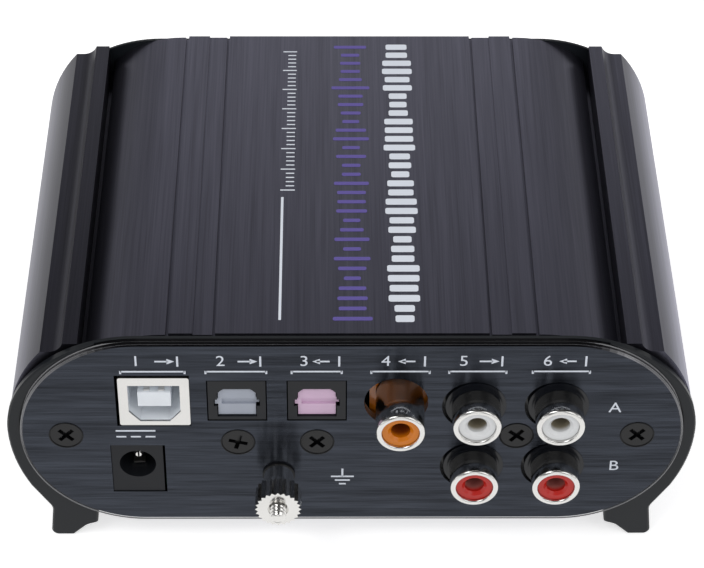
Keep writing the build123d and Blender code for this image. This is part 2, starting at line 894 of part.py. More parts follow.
# ---------------------------------------------------------------- dials
def dial_knob(x):
    """Fluted knob, hollow behind, with a pointer groove."""
    start = plate_face + knob_floor_gap
    front = plate_face + knob_proud
    skirt_end = start + knob_skirt
    knob = rod(x, knob_h, knob_radius, start, skirt_end)
    grip = rod(x, knob_h, knob_waist_radius, skirt_end, front)
    rim = grip.edges().filter_by(GeomType.CIRCLE).sort_by(Axis.Y)[-1]
    grip = chamfer(rim, knob_mark_width / 2)
    for flute in range(knob_flutes):
        angle = 2 * pi * (flute + 0.5) / knob_flutes
        reach = knob_waist_radius + knob_flute_radius / 2
        place = (x + reach * sin(angle), knob_h + reach * cos(angle))
        grip -= rod(*place, knob_flute_radius, skirt_end, front)
    knob += grip
    knob -= rod(x, knob_h, knob_hollow_radius, start, plate_face + knob_hollow_depth + knob_floor_gap)
    knob -= rod(x, knob_h, shaft_radius + solder_gap, start, plate_face + shaft_tip + solder_gap)
    mark_h = knob_h + knob_waist_radius / 2
    mark = (knob_mark_width, knob_waist_radius)
    return knob - block(x, mark_h, *mark, front - knob_mark_depth, front)


def dial(x):
    """Knob, shaft, potentiometer body and its nut at x."""
    pot_front = plate_back - seat_gap
    pot_back = plate_back - front_board_gap
    bore_floor = pot_front - pot_bore_depth
    pot = block(x, knob_h, pot_width, pot_height, pot_back, pot_front)
    pot += rod(x, knob_h, bushing_radius, pot_front, plate_face + bushing_proud)
    pot -= rod(x, knob_h, shaft_radius + shaft_gap, bore_floor, plate_face + bushing_proud)
    shaft = rod(x, knob_h, shaft_radius, bore_floor + shaft_gap, plate_face + shaft_tip)
    nut = hexagon(x, knob_h, pot_nut_flats, plate_face, plate_face + pot_nut_thickness)
    nut -= rod(x, knob_h, bushing_radius + screw_gap, plate_face, plate_face + pot_nut_thickness)
    return at_front(dial_knob(x)), at_front(shaft), at_front(pot), at_front(nut)


# ---------------------------------------------------------------- push buttons and lamps
def button_cap(x):
    flange_back = plate_back - seat_gap - button_flange_thickness
    cap = Pos(x, button_h) * RectangleRounded(button_size, button_size, button_corner)
    cap = slab(cap, plate_back - seat_gap, plate_face + button_proud)
    cap = chamfer(front_rim(cap), button_corner / 2)
    size = button_size + 2 * button_flange
    cap += block(x, button_h, size, size, flange_back, plate_back - seat_gap)
    stem_length = button_travel + switch_depth / 2
    cap += rod(x, button_h, button_stem_radius, flange_back - stem_length, flange_back)
    return at_front(cap)


def button_switches():
    """Switch bodies on the front board; each stem slides in its bore."""
    flange_back = plate_back - seat_gap - button_flange_thickness
    back = plate_back - front_board_gap
    bodies = []
    for x in button_xs:
        front = flange_back - button_travel - button_gap
        body = block(-x, button_h, switch_size, switch_size, back, front)
        bore = button_stem_radius + button_stem_gap
        body -= rod(-x, button_h, bore, back + led_flange_thickness, front)
        bodies.append(at_front(body))
    return group(bodies)


def status_lamps():
    flange = plate_back - seat_gap
    back = plate_back - front_board_gap
    lamps = []
    for x in button_xs:
        dome = plate_face + led_proud
        lamp = rod(-x, led_h, led_radius, flange - led_flange_thickness, dome)
        top = lamp.edges().filter_by(GeomType.CIRCLE).sort_by(Axis.Y)[-1]
        lamp = chamfer(top, led_radius / 2)
        lamp += rod(-x, led_h, led_flange_radius, flange - led_flange_thickness, flange)
        for side in (-1, 1):
            lead_x = -x + side * led_lead_spacing
            end = flange - led_flange_thickness
            lamp += block(lead_x, led_h, led_lead, led_lead, back, end)
        lamps.append(at_front(lamp))
    return group(lamps)


# ---------------------------------------------------------------- headphone socket
def headphone_socket():
    x = -phones_x
    rear = plate_back - seat_gap
    back = rear - phones_depth
    front = plate_face + phones_bushing_proud
    body = block(x, phones_h, phones_width, phones_height, back, rear)
    body += rod(x, phones_h, phones_bushing_radius, rear, front)
    floor = front - phones_hole_depth
    body -= rod(x, phones_h, phones_bore, floor, front)
    spring_y = (floor, floor + phones_depth / 2)
    pocket_h = phones_h + phones_bore + phones_spring_thickness
    pocket = (phones_bore, 4 * phones_spring_thickness)
    body -= block(x, pocket_h, *pocket, *spring_y)
    spring_size = (phones_bore - 2 * screw_gap, phones_spring_thickness)
    spring = block(x, phones_h + phones_bore + phones_spring_thickness, *spring_size, *spring_y)
    nut_end = plate_face + phones_nut_thickness
    nut = rod(x, phones_h, phones_nut_radius, plate_face, nut_end)
    nut -= rod(x, phones_h, phones_bushing_radius + screw_gap, plate_face, nut_end)
    for notch in range(phones_nut_notches):
        angle = 360 * notch / phones_nut_notches
        slot = Rot(0, 0, angle) * Pos(phones_nut_radius, 0) * Rectangle(pin_size * 2, pin_size * 2)
        nut -= slab(Pos(x, phones_h) * slot, plate_face, nut_end)
    return {
        "headphone_jack": at_front(body),
        "headphone_nut": at_front(nut),
        "headphone_spring": at_front(spring),
    }


# ---------------------------------------------------------------- boards and what they carry
front_board_y = -plate_back + front_board_gap
board_rear_y = case_end - board_setback
main_board_front_y = front_board_y + board_thickness + board_clearance


def boards():
    lower_h = -board_face_h - board_thickness / 2
    upper_h = board_face_h + board_thickness / 2
    size = (2 * board_half_width, board_thickness)
    main = block(0, lower_h, *size, main_board_front_y, board_rear_y)
    upper = block(0, upper_h, *size, board_rear_y - upper_board_length, board_rear_y)
    front_size = (2 * front_board_half_width, 2 * front_board_half_height)
    front = block(0, 0, *front_size, front_board_y, front_board_y + board_thickness)
    return {"main_board": main, "upper_board": upper, "front_board": front}


def board_header():
    """Pin strip with a socket on each board."""
    length = header_pins * lead_pitch
    parts = []
    for level in (-1, 1):
        h = level * (board_face_h - header_height / 2)
        y0 = header_y - header_width / 2
        parts.append(block(header_x, h, length, header_height, y0, y0 + header_width))
    reach = 2 * (board_face_h - header_height)
    header = parts[0] + parts[1]
    for pin in range(header_pins):
        x = header_x + (pin - (header_pins - 1) / 2) * lead_pitch
        header += block(x, 0, pin_size, reach, header_y - pin_size / 2, header_y + pin_size / 2)
    return header


def op_amps():
    """Dual amplifier chips behind the phono sockets and beside the gain dial."""
    chips = []
    places = (
        (rca_x - input_chip_spacing / 2, input_chip_y),
        (rca_x + input_chip_spacing / 2, input_chip_y),
        (rca_x, output_chip_y),
        (monitor_chip_x, monitor_chip_y),
    )
    for x, y in places:
        h = -board_face_h + chip_leg + chip_height / 2
        chip = block(x, h, chip_width, chip_height, y - chip_length / 2, y + chip_length / 2)
        for side in (-1, 1):
            leg_x = x + side * (chip_width + chip_leg) / 2
            leg_height = chip_leg + chip_height / 2
            leg_h = -board_face_h + leg_height / 2
            for leg in range(4):
                leg_y = y + (leg - 1.5) * lead_pitch
                chip += block(leg_x, leg_h, chip_leg, leg_height, leg_y - chip_leg / 2, leg_y + chip_leg / 2)
        chips.append(chip)
    return group(chips)


def capacitors():
    """A row along Y for the supply and one along X for the signal."""
    cans = []
    base = centre_z - board_face_h
    places = [(supply_can_x, supply_can_y - step * can_spacing) for step in range(cans_in_row)]
    places += [(signal_can_x + step * can_spacing, signal_can_y) for step in range(cans_in_row)]
    for x, y in places:
        centre = (Align.CENTER, Align.CENTER, Align.MIN)
        can = Pos(x, y, base) * Cylinder(capacitor_radius, capacitor_height, align=centre)
        top = can.edges().filter_by(GeomType.CIRCLE).sort_by(Axis.Z)[-1]
        cans.append(chamfer(top, chip_leg))
    return group(cans)


def converter_chip():
    h = board_face_h - converter_height / 2
    y = board_rear_y - upper_board_length / 2 - converter_size / 2
    return block(optical_out_x, h, converter_size, converter_height, y, y + converter_size)


def voltage_regulator():
    """Upright package with its metal tab."""
    x = regulator_x
    y = regulator_y
    h = -board_face_h + regulator_height / 2 + chip_leg
    body_height = regulator_height * regulator_body_share
    body_h = -board_face_h + chip_leg + body_height / 2
    body = block(x, body_h, regulator_width, body_height, y, y + regulator_thickness)
    body += block(x, h, regulator_width, regulator_height, y - tab_thickness, y)
    for leg in (-1, 0, 1):
        leg_x = x + leg * lead_pitch
        body += block(leg_x, -board_face_h + chip_leg / 2, pin_size, chip_leg, y, y + pin_size)
    return body


# ---------------------------------------------------------------- assembly
def all_parts():
    front_frame = end_frame(front_base_inset, front_frame_inset, front_plate_inset)
    end_screws = []
    for side in (-1, 1):
        end_screws.append(countersunk_screw(side * boss_x, boss_h, end_screw_length, end_screw_turn))
    screw_length = short_screw_length - short_screw_spare
    optical_screws = []
    for x, turn in zip((optical_out_x, optical_in_x), optical_screw_turns):
        optical_screws.append(countersunk_screw(x, optical_screw_h, screw_length, turn))
    gain_knob, gain_shaft, gain_pot, gain_nut = dial(-gain_x)
    monitor_knob, monitor_shaft, monitor_pot, monitor_nut = dial(-monitor_x)
    parts = {
        "case_shell": case_shell(),
        "rear_bezel": end_frame(shadow_inset, 0, 0),
        "front_bezel": mirror(front_frame, about=Plane.XZ),
        "rear_panel": rear_plate(),
        "front_panel": front_plate(),
        "rear_end_screws": group(end_screws),
        "front_end_screws": group(at_front(screw) for screw in end_screws),
        "optical_screws": group(optical_screws),
        "rca_block_screw": countersunk_screw(rca_screw_x, rca_screw_h, screw_length, rca_screw_turn),
        "optical_out_body": optical_body(optical_out_x),
        "optical_out_door": optical_door(optical_out_x),
        "optical_in_body": optical_body(optical_in_x),
        "optical_in_door": optical_door(optical_in_x),
        "optical_modules": optical_modules(),
        "gain_knob": gain_knob,
        "gain_shaft": gain_shaft,
        "gain_pot": gain_pot,
        "monitor_knob": monitor_knob,
        "monitor_shaft": monitor_shaft,
        "monitor_pot": monitor_pot,
        "pot_nuts": group([gain_nut, monitor_nut]),
        "low_cut_button": button_cap(-button_xs[0]),
        "input_button": button_cap(-button_xs[1]),
        "mono_button": button_cap(-button_xs[2]),
        "button_switches": button_switches(),
        "status_lamps": status_lamps(),
        "board_header": board_header(),
        "op_amps": op_amps(),
        "capacitors": capacitors(),
        "converter_chip": converter_chip(),
        "voltage_regulator": voltage_regulator(),
    }
    for built in (usb_socket, power_socket, phono_group, coax_socket, ground_post, headphone_socket, boards):
        parts.update(built())
    return parts


os.makedirs("parts", exist_ok=True)
for name, shape in all_parts().items():
    export_step(shape, "parts/" + name + ".step")
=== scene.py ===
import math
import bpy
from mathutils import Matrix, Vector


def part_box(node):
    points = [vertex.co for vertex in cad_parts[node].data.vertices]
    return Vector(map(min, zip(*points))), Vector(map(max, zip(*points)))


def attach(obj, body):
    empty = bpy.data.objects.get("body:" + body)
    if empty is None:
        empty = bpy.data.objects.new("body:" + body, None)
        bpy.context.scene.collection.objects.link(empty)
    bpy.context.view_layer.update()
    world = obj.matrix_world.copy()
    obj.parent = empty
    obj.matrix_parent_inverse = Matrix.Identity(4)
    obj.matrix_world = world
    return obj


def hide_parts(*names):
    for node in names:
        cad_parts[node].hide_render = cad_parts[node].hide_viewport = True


bl_info = {
    "name": "Phono Preamp",
    "version": (1, 0, 0),
    "blender": (4, 5, 0),
    "location": "View3D > Sidebar > Preamp",
    "description": "Finishes, print and studio for a phono preamp in an extruded case",
    "category": "Object",
}

import bmesh
import bpy
from bpy.props import FloatProperty, FloatVectorProperty, IntProperty, PointerProperty
from mathutils import Matrix, Vector
from mathutils.geometry import convex_hull_2d

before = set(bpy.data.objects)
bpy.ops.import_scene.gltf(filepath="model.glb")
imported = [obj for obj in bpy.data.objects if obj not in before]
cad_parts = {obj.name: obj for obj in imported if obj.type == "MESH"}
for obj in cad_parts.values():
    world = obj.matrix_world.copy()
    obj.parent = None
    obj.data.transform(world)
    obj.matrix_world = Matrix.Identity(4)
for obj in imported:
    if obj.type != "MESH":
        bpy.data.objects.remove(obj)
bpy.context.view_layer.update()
MM = 0.001

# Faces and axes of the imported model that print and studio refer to.
REAR_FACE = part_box("rear_panel")[1].y
FRONT_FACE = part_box("front_panel")[0].y
PANEL_CENTRE_Z = (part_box("rear_panel")[0].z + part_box("rear_panel")[1].z) / 2
CROWN_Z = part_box("case_shell")[1].z


def box_middle(node):
    low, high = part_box(node)
    return (low + high) / 2


def new_object(name, data):
    item = bpy.data.objects.new(name, data)
    bpy.context.scene.collection.objects.link(item)
    return item


# ---- settings
def colour(name, description, default):
    return FloatVectorProperty(
        name=name, description=description, subtype="COLOR", size=3, min=0, max=1, default=default
    )


def length(name, description, millimetres):
    return FloatProperty(
        name=name, description=description, unit="LENGTH", min=0, default=millimetres * MM
    )


def tilt(name, description, degrees):
    return FloatProperty(
        name=name, description=description, subtype="ANGLE", default=math.radians(degrees)
    )


def amount(name, description, default, unit="NONE"):
    return FloatProperty(name=name, description=description, unit=unit, default=default)


class PreampFinishes(bpy.types.PropertyGroup):
    """Colours of the metals and plastics, and of the painted light on the plates' edges and down
    the sockets' holes
    """

    anodised: colour("Anodised", "Brushed case", (0.119, 0.118, 0.156))
    panel: colour("Panel", "Brushed end plates", (0.038, 0.043, 0.055))
    # Painted light on the plates' thin edges: a painted highlight where they face sideways and
    # down, painted shade on the top edge.
    edge_light: colour("Edge highlight", "Painted highlight on the plates' side and lower edges, and on the frames' lips", (0.20, 0.20, 0.21))
    edge_dark: colour("Edge shade", "Top edge of the plates", (0.006, 0.006, 0.008))
    slate: colour("Slate", "Satin end frames and feet", (0.010, 0.012, 0.015))
    screw_black: colour("Screw black", "Oxide on the screws", (0.005, 0.005, 0.006))
    nickel: colour("Nickel", "Plated sockets, post and nuts", (0.78, 0.77, 0.75))
    brass: colour("Spring metal", "Contacts inside the sockets", (0.70, 0.58, 0.34))
    plastic_black: colour("Black plastic", "Socket bodies", (0.007, 0.008, 0.011))
    knob_black: colour("Knob black", "Knobs and keys", (0.020, 0.020, 0.023))
    shutter_grey: colour("Grey shutter", "Shutter of the optical output", (0.39, 0.42, 0.49))
    shutter_pink: colour("Pink shutter", "Shutter of the optical input", (0.68, 0.48, 0.65))
    insert_white: colour("White insert", "Upper phono sockets", (0.78, 0.79, 0.80))
    insert_red: colour("Red insert", "Lower phono sockets", (0.50, 0.016, 0.010))
    insert_orange: colour("Orange insert", "Digital coaxial socket", (0.66, 0.19, 0.004))
    body_orange: colour("Orange body", "Housing of the digital socket", (0.50, 0.14, 0.003))
    # Painted shade down the sockets' holes, tinted towards the brass of their contacts.
    depth_white: colour("White hole shade", "Down a white socket's hole", (0.36, 0.32, 0.24))
    depth_red: colour("Red hole shade", "Down a red socket's hole", (0.46, 0.17, 0.15))
    depth_orange: colour("Orange hole shade", "Down the orange socket's hole", (0.32, 0.07, 0.008))
    socket_blue: colour("Socket insulator", "Tongue of the square socket", (0.87, 0.91, 0.96))
    board_green: colour("Board green", "Solder mask of the circuit boards", (0.015, 0.11, 0.045))
    sleeve: colour("Capacitor sleeve", "Film round the capacitors", (0.03, 0.05, 0.14))
    steel: colour("Steel", "Shafts, pots and their nuts", (0.42, 0.42, 0.43))
    ink_white: colour("White ink", "Print on panels and case", (0.75, 0.79, 0.87))
    ink_violet: colour("Violet ink", "Second colour of the print on the case", (0.125, 0.095, 0.35))
    lamp: colour("Lamp", "Lens of the status lamps", (0.12, 0.30, 0.62))


class PreampPrint(bpy.types.PropertyGroup):
    """Sizes of the print"""

    thickness: length("Ink thickness", "Height of the print above its surface", 0.02)
    lift: length("Ink lift", "Gap under the print that keeps the faces apart", 0.01)
    numeral: length("Numeral height", "Height of the numbers over the sockets", 2.3)
    stroke: length("Stroke", "Width of symbols and ruled lines", 0.34)
    bar_pitch: length("Bar pitch", "Distance from bar to bar along the case", 2.6)
    bar_length: length("Bar length", "Length of each bar along the case", 1.7)
    dial_numerals: length("Dial numerals", "Radius of the ring of numbers round each dial", 10.3)
    dial_steps: IntProperty(
        name="Dial steps", description="Steps between the lowest and highest number", default=10
    )


class PreampTurned(bpy.types.PropertyGroup):
    """Lips and threads of the turned pieces, and sizes of the tubes and rings that carry painted
    light
    """

    lip: length("Lip", "Rounding of the barrels' outer rim", 0.55)
    inner_lip: length("Inner lip", "Rounding of the barrels' inner rim", 0.35)
    wall: length("Wall", "Thickness of a barrel", 1.0)
    neck: length("Neck", "How much slimmer the barrel is behind its seat", 0.15)
    coax_seat: length("Coaxial seat", "Where the full radius starts, from the plate", 0.1)
    phono_seat: length("Phono seat", "Where the full radius starts, from the plate", 0.6)
    stud_radius: length("Stud radius", "Crest of the post's thread", 1.45)
    pitch: length("Pitch", "Thread of the post as it is drawn", 0.8)
    thread_depth: length("Thread depth", "From crest to root", 0.32)
    # Dark rings of painted shade round the screw heads.
    rim: length("Screw rim", "Tube radius of the dark rings of painted shade round the screw heads", 0.15)
    # Radii of thin tubes that are painted highlights along the plates' lower edges and the frames'
    # lips.
    edge_line: length("Edge line", "Radius of the rubbed lower edge of each plate", 0.12)
    lip_line: length("Lip line", "Radius of the painted highlight on the lip round each plate", 0.13)
    head: length("Head", "Thickness of the post's head", 1.6)


class PreampStudio(bpy.types.PropertyGroup):
    """Camera, lamps and floor"""

    lens: amount("Lens", "Focal length in millimetres", 131.326, "CAMERA")
    pitch: tilt("Pitch", "Camera tilt below the horizon", 40.93)
    yaw: tilt("Yaw", "Camera turn about the vertical", 0.626)
    roll: tilt("Roll", "Camera turn about its own axis", 0.379)
    camera_x: length("Camera X", "Camera place across the case", 3.593)
    camera_y: length("Camera Y", "Camera place along the case", 361.603)
    camera_z: length("Camera Z", "Camera height above the floor", 333.974)
    world_light: amount("World light", "Strength of the even light", 0.62)
    floor_glow: amount("Floor glow", "White added to the floor where it is seen", 0.6)
    far_floor: amount("Far floor", "Brightness of the distant floor in reflections", 0.3)
    zenith: amount("Zenith", "Brightness overhead, as shiny surfaces see it", 0.07)
    flanks: amount("Flanks", "Share of light left at both sides", 0.22)
    key_power: amount("Key lamp", "Power in watts", 4.6, "POWER")
    fill_power: amount("Fill lamp", "Power in watts", 2.4, "POWER")
    floor_colour: colour("Floor", "Pale floor", (0.86, 0.86, 0.865))


# ---- shader groups
GREY = (0.05, 0.05, 0.05, 1.0)


def new_group(name, inputs, outputs):
    """Shader group whose inputs come with a default: a number, a direction or a colour."""
    group = bpy.data.node_groups.new(name, "ShaderNodeTree")

    def socket(label, way, kind):
        return group.interface.new_socket(name=label, in_out=way, socket_type="NodeSocket" + kind)

    for label, value in inputs.items():
        kind = {3: "Vector", 4: "Color"}[len(value)] if isinstance(value, tuple) else "Float"
        socket(label, "INPUT", kind).default_value = value
    for label in outputs:
        socket(label, "OUTPUT", "Color" if label == "Color" else "Float")
    given = group.nodes.new("NodeGroupInput").outputs
    result = group.nodes.new("NodeGroupOutput").inputs
    return Wiring(group), given, result


class Wiring:
    """Adds nodes to one shader tree and links them."""

    def __init__(self, tree):
        self.nodes = tree.nodes
        self.link = tree.links.new

    def add(self, kind):
        return self.nodes.new("ShaderNode" + kind)

    def maths(self, operation, *values):
        node = self.add("Math")
        node.operation = operation
        for slot, value in enumerate(values):
            if isinstance(value, (int, float)):
                node.inputs[slot].default_value = value
            else:
                self.link(value, node.inputs[slot])
        return node.outputs[0]

    def fade(self, value, start, end, first, last):
        """Smooth change from first to last while value goes from start to end."""
        ramp = self.add("MapRange")
        ramp.interpolation_type = "SMOOTHSTEP"
        self.link(value, ramp.inputs["Value"])
        limits = {"From Min": start, "From Max": end, "To Min": first, "To Max": last}
        for name, number in limits.items():
            ramp.inputs[name].default_value = number
        return ramp.outputs["Result"]

    def scaled(self, tone, gain):
        """Colour times a plain gain."""
        product = self.add("VectorMath")
        product.operation = "SCALE"
        self.link(tone, product.inputs[0])
        self.link(gain, product.inputs["Scale"])
        return product.outputs[0]

    def blend(self, share, first, second):
        """Goes from the first colour to the second as share goes from 0 to 1."""
        first_slot, second_slot, result = 6, 7, 2  # this node's colour sockets share their names
        mix = self.add("Mix")
        mix.data_type = "RGBA"
        self.link(share, mix.inputs["Factor"])
        self.link(first, mix.inputs[first_slot])
        self.link(second, mix.inputs[second_slot])
        return mix.outputs[result]

    def mixed_shader(self, share, first, second):
        mix = self.add("MixShader")
        for slot, value in enumerate((share, first, second)):
            self.link(value, mix.inputs[slot])
        return mix.outputs[0]

    def coordinates(self, kind="Object"):
        """Where the shaded point lies, as X, Y and Z."""
        split = self.add("SeparateXYZ")
        self.link(self.add("TexCoord").outputs[kind], split.inputs[0])
        return split.outputs

    def seen_by(self, *kinds):
        """One for rays of the kinds named, and nought for the rest."""
        rays = self.add("LightPath")
        seen = rays.outputs[f"Is {kinds[0]} Ray"]
        for kind in kinds[1:]:
            seen = self.maths("MAXIMUM", seen, rays.outputs[f"Is {kind} Ray"])
        return seen


def brushed_group():
    """Fine parallel grain. Run stretches it along one axis."""
    defaults = {"Run": (1.0, 0.02, 1.0), "Fineness": 2600.0, "Base": GREY, "Contrast": 0.3}
    tree, given, result = new_group("Brushed grain", defaults, ("Color", "Height"))
    place = tree.add("TexCoord")
    stretch = tree.add("VectorMath")
    stretch.operation = "MULTIPLY"
    tree.link(place.outputs["Object"], stretch.inputs[0])
    tree.link(given["Run"], stretch.inputs[1])
    layers = []
    for fineness, detail, weight in ((1.0, 3.0, 0.62), (0.21, 1.0, 0.38)):
        noise = tree.add("TexNoise")
        noise.inputs["Detail"].default_value = detail
        tree.link(stretch.outputs[0], noise.inputs["Vector"])
        scale = tree.maths("MULTIPLY", given["Fineness"], fineness)
        tree.link(scale, noise.inputs["Scale"])
        layers.append(tree.maths("MULTIPLY", noise.outputs["Fac"], weight))
    grain = tree.maths("ADD", *layers)
    centred = tree.maths("SUBTRACT", grain, 0.5)
    swing = tree.maths("MULTIPLY", centred, given["Contrast"])
    gain = tree.maths("ADD", tree.maths("MULTIPLY", swing, 4.0), 1.0)
    tree.link(tree.scaled(given["Base"], gain), result["Color"])
    tree.link(grain, result["Height"])


def moulded_group():
    """Slow unevenness and a fine skin for plastics and paint."""
    defaults = {"Base": GREY, "Unevenness": 0.12, "Roughness": 0.45}
    tree, given, result = new_group("Moulded skin", defaults, ("Color", "Rough", "Height"))
    place = tree.add("TexCoord")
    noises = []
    for scale in (160.0, 5200.0):
        noise = tree.add("TexNoise")
        noise.inputs["Scale"].default_value = scale
        tree.link(place.outputs["Object"], noise.inputs["Vector"])
        noises.append(noise.outputs["Fac"])
    slow = tree.maths("SUBTRACT", noises[0], 0.5)
    swing = tree.maths("MULTIPLY", slow, given["Unevenness"])
    gain = tree.maths("ADD", tree.maths("MULTIPLY", swing, 2.0), 1.0)
    tree.link(tree.scaled(given["Base"], gain), result["Color"])
    tree.link(tree.maths("ADD", given["Roughness"], swing), result["Rough"])
    tree.link(noises[1], result["Height"])


def edge_group():
    """Painted light on a plate's thin edges: Light is a painted highlight at the sides and below,
    Dark is painted shade on the flat top.
    """
    flat_top = 0.86, 0.98
    flat_face = 0.9, 0.98
    edge_rough, face_rough = 0.2, 0.24
    defaults = {"Base": GREY, "Light": GREY, "Dark": GREY}
    tree, given, result = new_group("Painted plate edge light", defaults, ("Color", "Rough"))
    split = tree.add("SeparateXYZ")
    tree.link(tree.add("NewGeometry").outputs["True Normal"], split.inputs[0])
    facing = tree.maths("ABSOLUTE", split.outputs["Y"])
    # Just over 1, so that a face square to Y never divides by nothing.
    rest = tree.maths("SUBTRACT", 1.001, tree.maths("POWER", facing, 2.0))
    outward = tree.maths("DIVIDE", split.outputs["Z"], tree.maths("SQRT", rest))
    # Painted shade where an edge faces up, painted highlight where it faces sideways and down.
    top = tree.fade(outward, *flat_top, 0.0, 1.0)
    face = tree.fade(facing, *flat_face, 0.0, 1.0)
    edge = tree.blend(top, given["Light"], given["Dark"])
    tone = tree.blend(face, edge, given["Base"])
    tree.link(tone, result["Color"])
    tree.link(tree.fade(facing, *flat_face, edge_rough, face_rough), result["Rough"])


def depth_group():
    """Painted shade down a socket's hole: Base at the socket's face, Deep down its hole; Mouth is
    the face's place along Y.
    """
    deep, shallow = -1.8 * MM, -0.7 * MM
    defaults = {"Base": GREY, "Deep": GREY, "Mouth": 0.0}
    tree, given, result = new_group("Painted hole shade", defaults, ("Color",))
    down = tree.maths("SUBTRACT", tree.coordinates()["Y"], given["Mouth"])
    share = tree.fade(down, deep, shallow, 1.0, 0.0)
    tone = tree.blend(share, given["Base"], given["Deep"])
    tree.link(tone, result["Color"])


# ---- materials
def finish(name, metallic=0.0, roughness=0.45, coat=0.0, specular=0.5):
    """New material with its shader's plain values set on the shader itself."""
    material = bpy.data.materials.new(name)
    material.use_nodes = True
    shader = material.node_tree.nodes["Principled BSDF"]
    shader.inputs["Metallic"].default_value = metallic
    shader.inputs["Roughness"].default_value = roughness
    shader.inputs["Coat Weight"].default_value = coat
    shader.inputs["Specular IOR Level"].default_value = specular
    return material, shader


def bump_into(tree, shader, height, distance, strength):
    bump = tree.add("Bump")
    bump.inputs["Strength"].default_value = strength
    bump.inputs["Distance"].default_value = distance
    tree.link(height, bump.inputs["Height"])
    tree.link(bump.outputs["Normal"], shader.inputs["Normal"])


def group_in(material, name, **values):
    """Places a shared shader group in a material, with its own values."""
    node = material.node_tree.nodes.new("ShaderNodeGroup")
    node.node_tree = bpy.data.node_groups[name]
    for label, value in values.items():
        node.inputs[label].default_value = value
    return node


def tint_through(material, name, **values):
    """Puts a group between what now feeds the base colour and the shader."""
    tree = Wiring(material.node_tree)
    base = tree.nodes["Principled BSDF"].inputs["Base Color"]
    group = group_in(material, name, **values)
    tree.link(base.links[0].from_socket, group.inputs["Base"])
    tree.link(group.outputs["Color"], base)
    return group


def brushed_metal(name, tone, run, across, contrast=0.3, roughness=0.3):
    """Grain stretched by run; reflections spread along across."""
    fineness = 3400.0
    material, shader = finish(name, metallic=0.9, roughness=roughness)
    shader.inputs["Anisotropic"].default_value = 0.95
    values = {"Run": run, "Base": (*tone, 1.0), "Contrast": contrast, "Fineness": fineness}
    grain = group_in(material, "Brushed grain", **values)
    tree = Wiring(material.node_tree)
    tree.link(grain.outputs["Color"], shader.inputs["Base Color"])
    spread = tree.add("CombineXYZ")
    for axis, value in zip("XYZ", across):
        spread.inputs[axis].default_value = value
    tree.link(spread.outputs[0], shader.inputs["Tangent"])
    bump_into(tree, shader, grain.outputs["Height"], 0.03 * MM, 0.35)
    return material


def shaded_flanks(material):
    """Dims the extrusion's wings and lightens its sides, as a light behind each flank would."""
    wing_start, wing_end = 37.0 * MM, 47.0 * MM
    side_start, side_end = 53.0 * MM, 58.7 * MM
    wing_dim, other_wing_dim, side_gain = 0.38, 0.7, 4.0
    tree = Wiring(material.node_tree)
    shader = tree.nodes["Principled BSDF"]
    across = tree.coordinates()["X"]
    aside = tree.maths("ABSOLUTE", across)
    share = tree.fade(across, wing_start, wing_end, 1.0, wing_dim)
    for bend in (
        tree.fade(across, -wing_end, -wing_start, other_wing_dim, 1.0),
        tree.fade(aside, side_start, side_end, 1.0, side_gain),
    ):
        share = tree.maths("MULTIPLY", share, bend)
    grain = shader.inputs["Base Color"].links[0].from_socket
    tree.link(tree.scaled(grain, share), shader.inputs["Base Color"])


def dark_depth(material, mouth, tone):
    """Paints shade down a socket's hole, from just inside its mouth."""
    tint_through(material, "Painted hole shade", Mouth=mouth, Deep=(*tone, 1.0))


def tinted_edges(material):
    """Puts the painted edge highlight and shade, and their roughness, between the grain and the
    shader.
    """
    light, dark = (*finishes().edge_light, 1.0), (*finishes().edge_dark, 1.0)
    edges = tint_through(material, "Painted plate edge light", Light=light, Dark=dark)
    tree = Wiring(material.node_tree)
    tree.link(edges.outputs["Rough"], tree.nodes["Principled BSDF"].inputs["Roughness"])


def moulded(
    name, tone, roughness=0.45, uneven=0.12, coat=0.0, metallic=0.0, specular=0.5, skin=0.15
):
    """Plastic, paint or plated metal with a fine skin."""
    material, shader = finish(name, metallic=metallic, coat=coat, specular=specular)
    values = {"Base": (*tone, 1.0), "Unevenness": uneven, "Roughness": roughness}
    surface = group_in(material, "Moulded skin", **values)
    tree = Wiring(material.node_tree)
    tree.link(surface.outputs["Color"], shader.inputs["Base Color"])
    tree.link(surface.outputs["Rough"], shader.inputs["Roughness"])
    bump_into(tree, shader, surface.outputs["Height"], 0.01 * MM, skin)
    return material


def dress(material, *nodes):
    """Gives CAD nodes their material."""
    for name in nodes:
        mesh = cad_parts[name].data
        mesh.materials.clear()
        mesh.materials.append(material)


def paint(name, tone, *nodes, **looks):
    """Makes a moulded finish and gives it to CAD nodes."""
    material = moulded(name, tone, **looks)
    dress(material, *nodes)
    return material


def finishes():
    return bpy.context.scene.preamp_finishes


# ---- turned pieces
def skin_over(mesh, rings, closed=True):
    """Faces from ring to ring of vertices, and from the last to the first where closed."""
    count = len(rings[0])
    for near, far in zip(rings, rings[1:] + (rings[:1] if closed else [])):
        for i in range(count):
            j = (i + 1) % count
            mesh.faces.new((near[i], near[j], far[j], far[i]))


def turned_point(middle, y, radius, share):
    """Point at a share of a full turn about the Y line through middle."""
    angle = 2 * math.pi * share
    out = Vector((math.cos(angle), 0, math.sin(angle)))
    return Vector((middle.x, y, middle.z)) + radius * out


def lathe(mesh, middle, profile, steps=64):
    """Closed profile of (radius, y) points turned about the Y line through middle."""
    skin_over(mesh, [
        [mesh.verts.new(turned_point(middle, y, radius, step / steps)) for radius, y in profile]
        for step in range(steps)
    ])


def rounding(centre, radius, start, end, steps=7):
    """Points of an arc, angles in degrees from the radial direction towards +Y."""
    sweep = end - start
    angles = [math.radians(start + sweep * step / steps) for step in range(steps + 1)]
    return [(centre[0] + radius * math.cos(a), centre[1] + radius * math.sin(a)) for a in angles]


